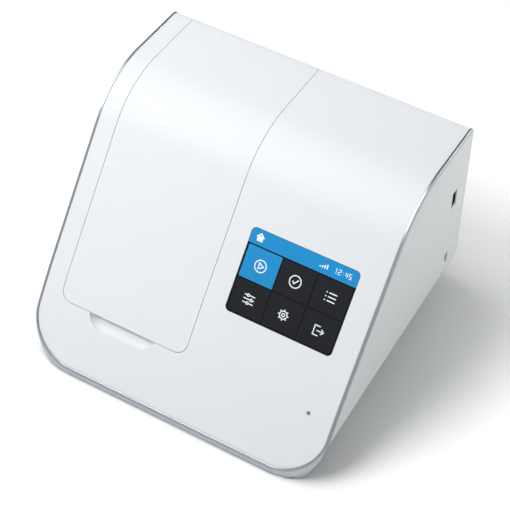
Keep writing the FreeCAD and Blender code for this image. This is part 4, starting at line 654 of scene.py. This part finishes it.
# Four gold strips a socket: a strip runs inwards from the recess, and its middle is one pitch from the next.
def makeContacts():
    half = sockets["contactWidth"] / 2
    deep = sockets["contactRecess"] + np.array([0, sockets["contactLength"]])
    wide, inward = np.meshgrid([-half, half], deep, indexing="ij")
    rearLevel = np.full_like(wide, sockets["rearHeight"] + sockets["tongueFace"])
    sideLevel = np.full_like(wide, sockets["sideDepth"] + sockets["tongueFace"])
    grids = []
    for step in np.array(sockets["contactSteps"]) * sockets["contactPitch"]:
        for place in sockets["rearPlaces"]:
            grids.append(np.stack([place + step + wide, sockets["rearFace"] - inward,
                                   rearLevel], axis=-1) * mm)
        grids.append(np.stack([sockets["sideFace"] - inward, sideLevel,
                               sockets["sideHeight"] + step + wide], axis=-1) * mm)
    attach(gridObject("socketContacts", grids, finishes["brass"]), "case")


makeContacts()


# Power sign on the dished button. The dish's depth and reach are the solid's, and the face is lifted
# a little.
buttonSign = {
    "x": -16.0,
    "z": 48.0,
    "face": 96.76,
    "dish": 0.4,
    "reach": 4.26,
    "radius": 2.5,
    "ringStart": 125,
    "ringEnd": 415,
    "ringSteps": 36,
    "stroke": 0.6,
    "barLow": 0.4,
    "barHigh": 3.1,
}


# An open ring and a short bar, sunk by the dish: the depth falls with the square of the distance.
def makeButtonSign():
    ring = arcPoints(0, 0, buttonSign["radius"], buttonSign["ringStart"], buttonSign["ringEnd"],
                     buttonSign["ringSteps"])
    bar = np.array([(0, buttonSign["barLow"]), (0, buttonSign["barHigh"])])
    grids = []
    for line in (ring, bar):
        strip = band(line, buttonSign["stroke"], 0.0)
        reach = np.hypot(strip[..., 0], strip[..., 1])
        strip[..., 2] = -buttonSign["dish"] * (1 - (reach / buttonSign["reach"]) ** 2)
        strip[..., 0] -= buttonSign["x"]
        strip[..., 1] += buttonSign["z"]
        grids.append(onBack(strip, buttonSign["face"]))
    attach(gridObject("powerSign", grids, finishes["black_plastic"]), "button")


makeButtonSign()
print("sockets and button dressed")


# The floor, in metres. Its seen level is higher than the one that lights the object, so that it shows as
# white. The painted shade's reach and its lowest share darken the seen level near the object.
floorCloth = {
    "reach": 4.0,
    "points": 9,
    "level": 0.94,
    "seen": 1.27,
    "paintedShadeReach": 0.10,
    "paintedShadeLow": 0.45,
}


# One number that is 1 for rays from the camera, from gloss and through glass, and 0 for the rest.
def seenRays(nodes, links):
    path = nodes.new("ShaderNodeLightPath")
    seen = joined(nodes, links, "MAXIMUM", path.outputs["Is Camera Ray"], path.outputs["Is Glossy Ray"])
    return joined(nodes, links, "MAXIMUM", seen, path.outputs["Is Transmission Ray"])


# A flat square of even cells. Near the object its seen colour is darkened by painted shade, which follows
# the share of the sky that is hidden there, on top of the lamps' real shadow.
def makeFloor():
    finish, nodes, links, shader = startFinish("paleFloor")
    nodes.remove(shader)
    plain = nodes.new("ShaderNodeBsdfDiffuse")
    plain.inputs["Color"].default_value = (*[floorCloth["level"]] * 3, 1)
    seen = nodes.new("ShaderNodeBsdfDiffuse")
    # Painted shade: an ambient occlusion node darkens the floor's seen colour near the object.
    openSky = nodes.new("ShaderNodeAmbientOcclusion")
    openSky.inputs["Distance"].default_value = floorCloth["paintedShadeReach"]
    paintedShade = numberBetween(nodes, links, openSky.outputs["AO"], floorCloth["seen"] * floorCloth["paintedShadeLow"],
                          floorCloth["seen"])
    links.new(paintedShade, seen.inputs["Color"])
    pick = nodes.new("ShaderNodeMixShader")
    links.new(seenRays(nodes, links), pick.inputs[0])
    links.new(plain.outputs[0], pick.inputs[1])
    links.new(seen.outputs[0], pick.inputs[2])
    links.new(pick.outputs[0], nodes["Material Output"].inputs["Surface"])
    steps = np.linspace(-floorCloth["reach"], floorCloth["reach"], floorCloth["points"])
    x, y = np.meshgrid(steps, steps, indexing="xy")
    gridObject("floor", [np.stack([x, y, np.zeros_like(x)], axis=-1)], finish)


# Three soft lamps: places and sizes in metres, power in watts, spread in degrees.
lamps = {
    "keyLamp": {"place": (-0.45, -0.45, 1.02), "target": (0, 0, 0.06),
                "size": 0.6, "power": 6.6, "spread": 180},
    "topLamp": {"place": (-0.30, 0.10, 1.15), "target": (0, 0, 0.06),
                "size": 0.5, "power": 3.05, "spread": 180},
    "fillLamp": {"place": (0.70, 0.75, 0.12), "target": (0.10, 0.16, 0.15),
                 "size": 0.3, "power": 0.30, "spread": 40},
}


# A round lamp that looks at its target: tilted by the angle between the way there and straight down, then
# turned about the upright.
def aimedLamp(name, values):
    lamp = bpy.data.lights.new(name, "AREA")
    lamp.shape = "DISK"
    lamp.size = values["size"]
    lamp.energy = values["power"]
    lamp.spread = math.radians(values["spread"])
    holder = bpy.data.objects.new(name, lamp)
    holder.location = values["place"]
    x, y, z = np.array(values["place"]) - np.array(values["target"])
    holder.rotation_euler = (math.atan2(math.hypot(x, y), z), 0, math.atan2(y, x) + math.pi / 2)
    bpy.context.scene.collection.objects.link(holder)


# The world's light and its levels in gloss. The spans are shares of its height, and of its depth to the back.
sky = {
    "colour": (0.96, 0.98, 1.0),
    "level": 0.36,
    "overhead": 1.0,
    "front": 0.55,
    "back": 0.30,
    "heightSpan": (0.45, 0.90),
    "depthSpan": (0.10, 0.60),
}


# Level of the studio walls for gloss: white overhead, darker in front and darkest behind the object. It is
# the product of a soft rise with height and a soft fall towards the back.
def wallLevel(nodes, links):
    place = nodes.new("ShaderNodeTexCoord")
    axes = nodes.new("ShaderNodeSeparateXYZ")
    links.new(place.outputs["Generated"], axes.inputs["Vector"])
    high = numberBetween(nodes, links, axes.outputs["Z"], sky["front"], sky["overhead"], *sky["heightSpan"],
                         soft=True)
    back = numberBetween(nodes, links, axes.outputs["Y"], 1.0, sky["back"], *sky["depthSpan"], soft=True)
    return joined(nodes, links, "MULTIPLY", high, back)


# The world lights all things evenly, shows as white to the camera and through glass, and as studio walls
# in gloss.
def makeSky():
    world = bpy.data.worlds.new("studio")
    world.use_nodes = True
    nodes, links = world.node_tree.nodes, world.node_tree.links
    even = nodes["Background"]
    even.inputs["Color"].default_value = (*sky["colour"], 1)
    even.inputs["Strength"].default_value = sky["level"]
    walls, white = nodes.new("ShaderNodeBackground"), nodes.new("ShaderNodeBackground")
    for part in (walls, white):
        part.inputs["Color"].default_value = (1, 1, 1, 1)
    links.new(wallLevel(nodes, links), walls.inputs["Strength"])
    path = nodes.new("ShaderNodeLightPath")
    clear = joined(nodes, links, "MAXIMUM", path.outputs["Is Camera Ray"],
                   path.outputs["Is Transmission Ray"])
    gloss, pick = nodes.new("ShaderNodeMixShader"), nodes.new("ShaderNodeMixShader")
    mixes = ((gloss, path.outputs["Is Glossy Ray"], even, walls), (pick, clear, gloss, white))
    for mix, share, first, second in mixes:
        links.new(share, mix.inputs[0])
        links.new(first.outputs[0], mix.inputs[1])
        links.new(second.outputs[0], mix.inputs[2])
    links.new(pick.outputs[0], nodes["World Output"].inputs["Surface"])
    bpy.context.scene.world = world


# The camera that was fitted to the object's corners: its place in metres, its turn in degrees.
photoCamera = {
    "place": (0.32202784, -0.52723045, 0.79396288),
    "turn": (38.58559984, -0.39449311, 29.68003834),
    "lens": 109.355536,
    "sensor": 36.0,
    "shift": (-0.05288465, 0.07782691),
    "clip": (0.05, 20.0),
}


# A camera placed, turned and shifted by the values above.
def makeCamera():
    data = bpy.data.cameras.new("photoCamera")
    data.lens = photoCamera["lens"]
    data.sensor_width = photoCamera["sensor"]
    data.shift_x, data.shift_y = photoCamera["shift"]
    data.clip_start, data.clip_end = photoCamera["clip"]
    camera = bpy.data.objects.new("photoCamera", data)
    camera.location = photoCamera["place"]
    camera.rotation_euler = [math.radians(a) for a in photoCamera["turn"]]
    bpy.context.scene.collection.objects.link(camera)
    bpy.context.scene.camera = camera


makeFloor()
for name, values in lamps.items():
    aimedLamp(name, values)
makeSky()
makeCamera()
bpy.context.scene.view_settings.view_transform = "Standard"
print("floor, light and camera made")
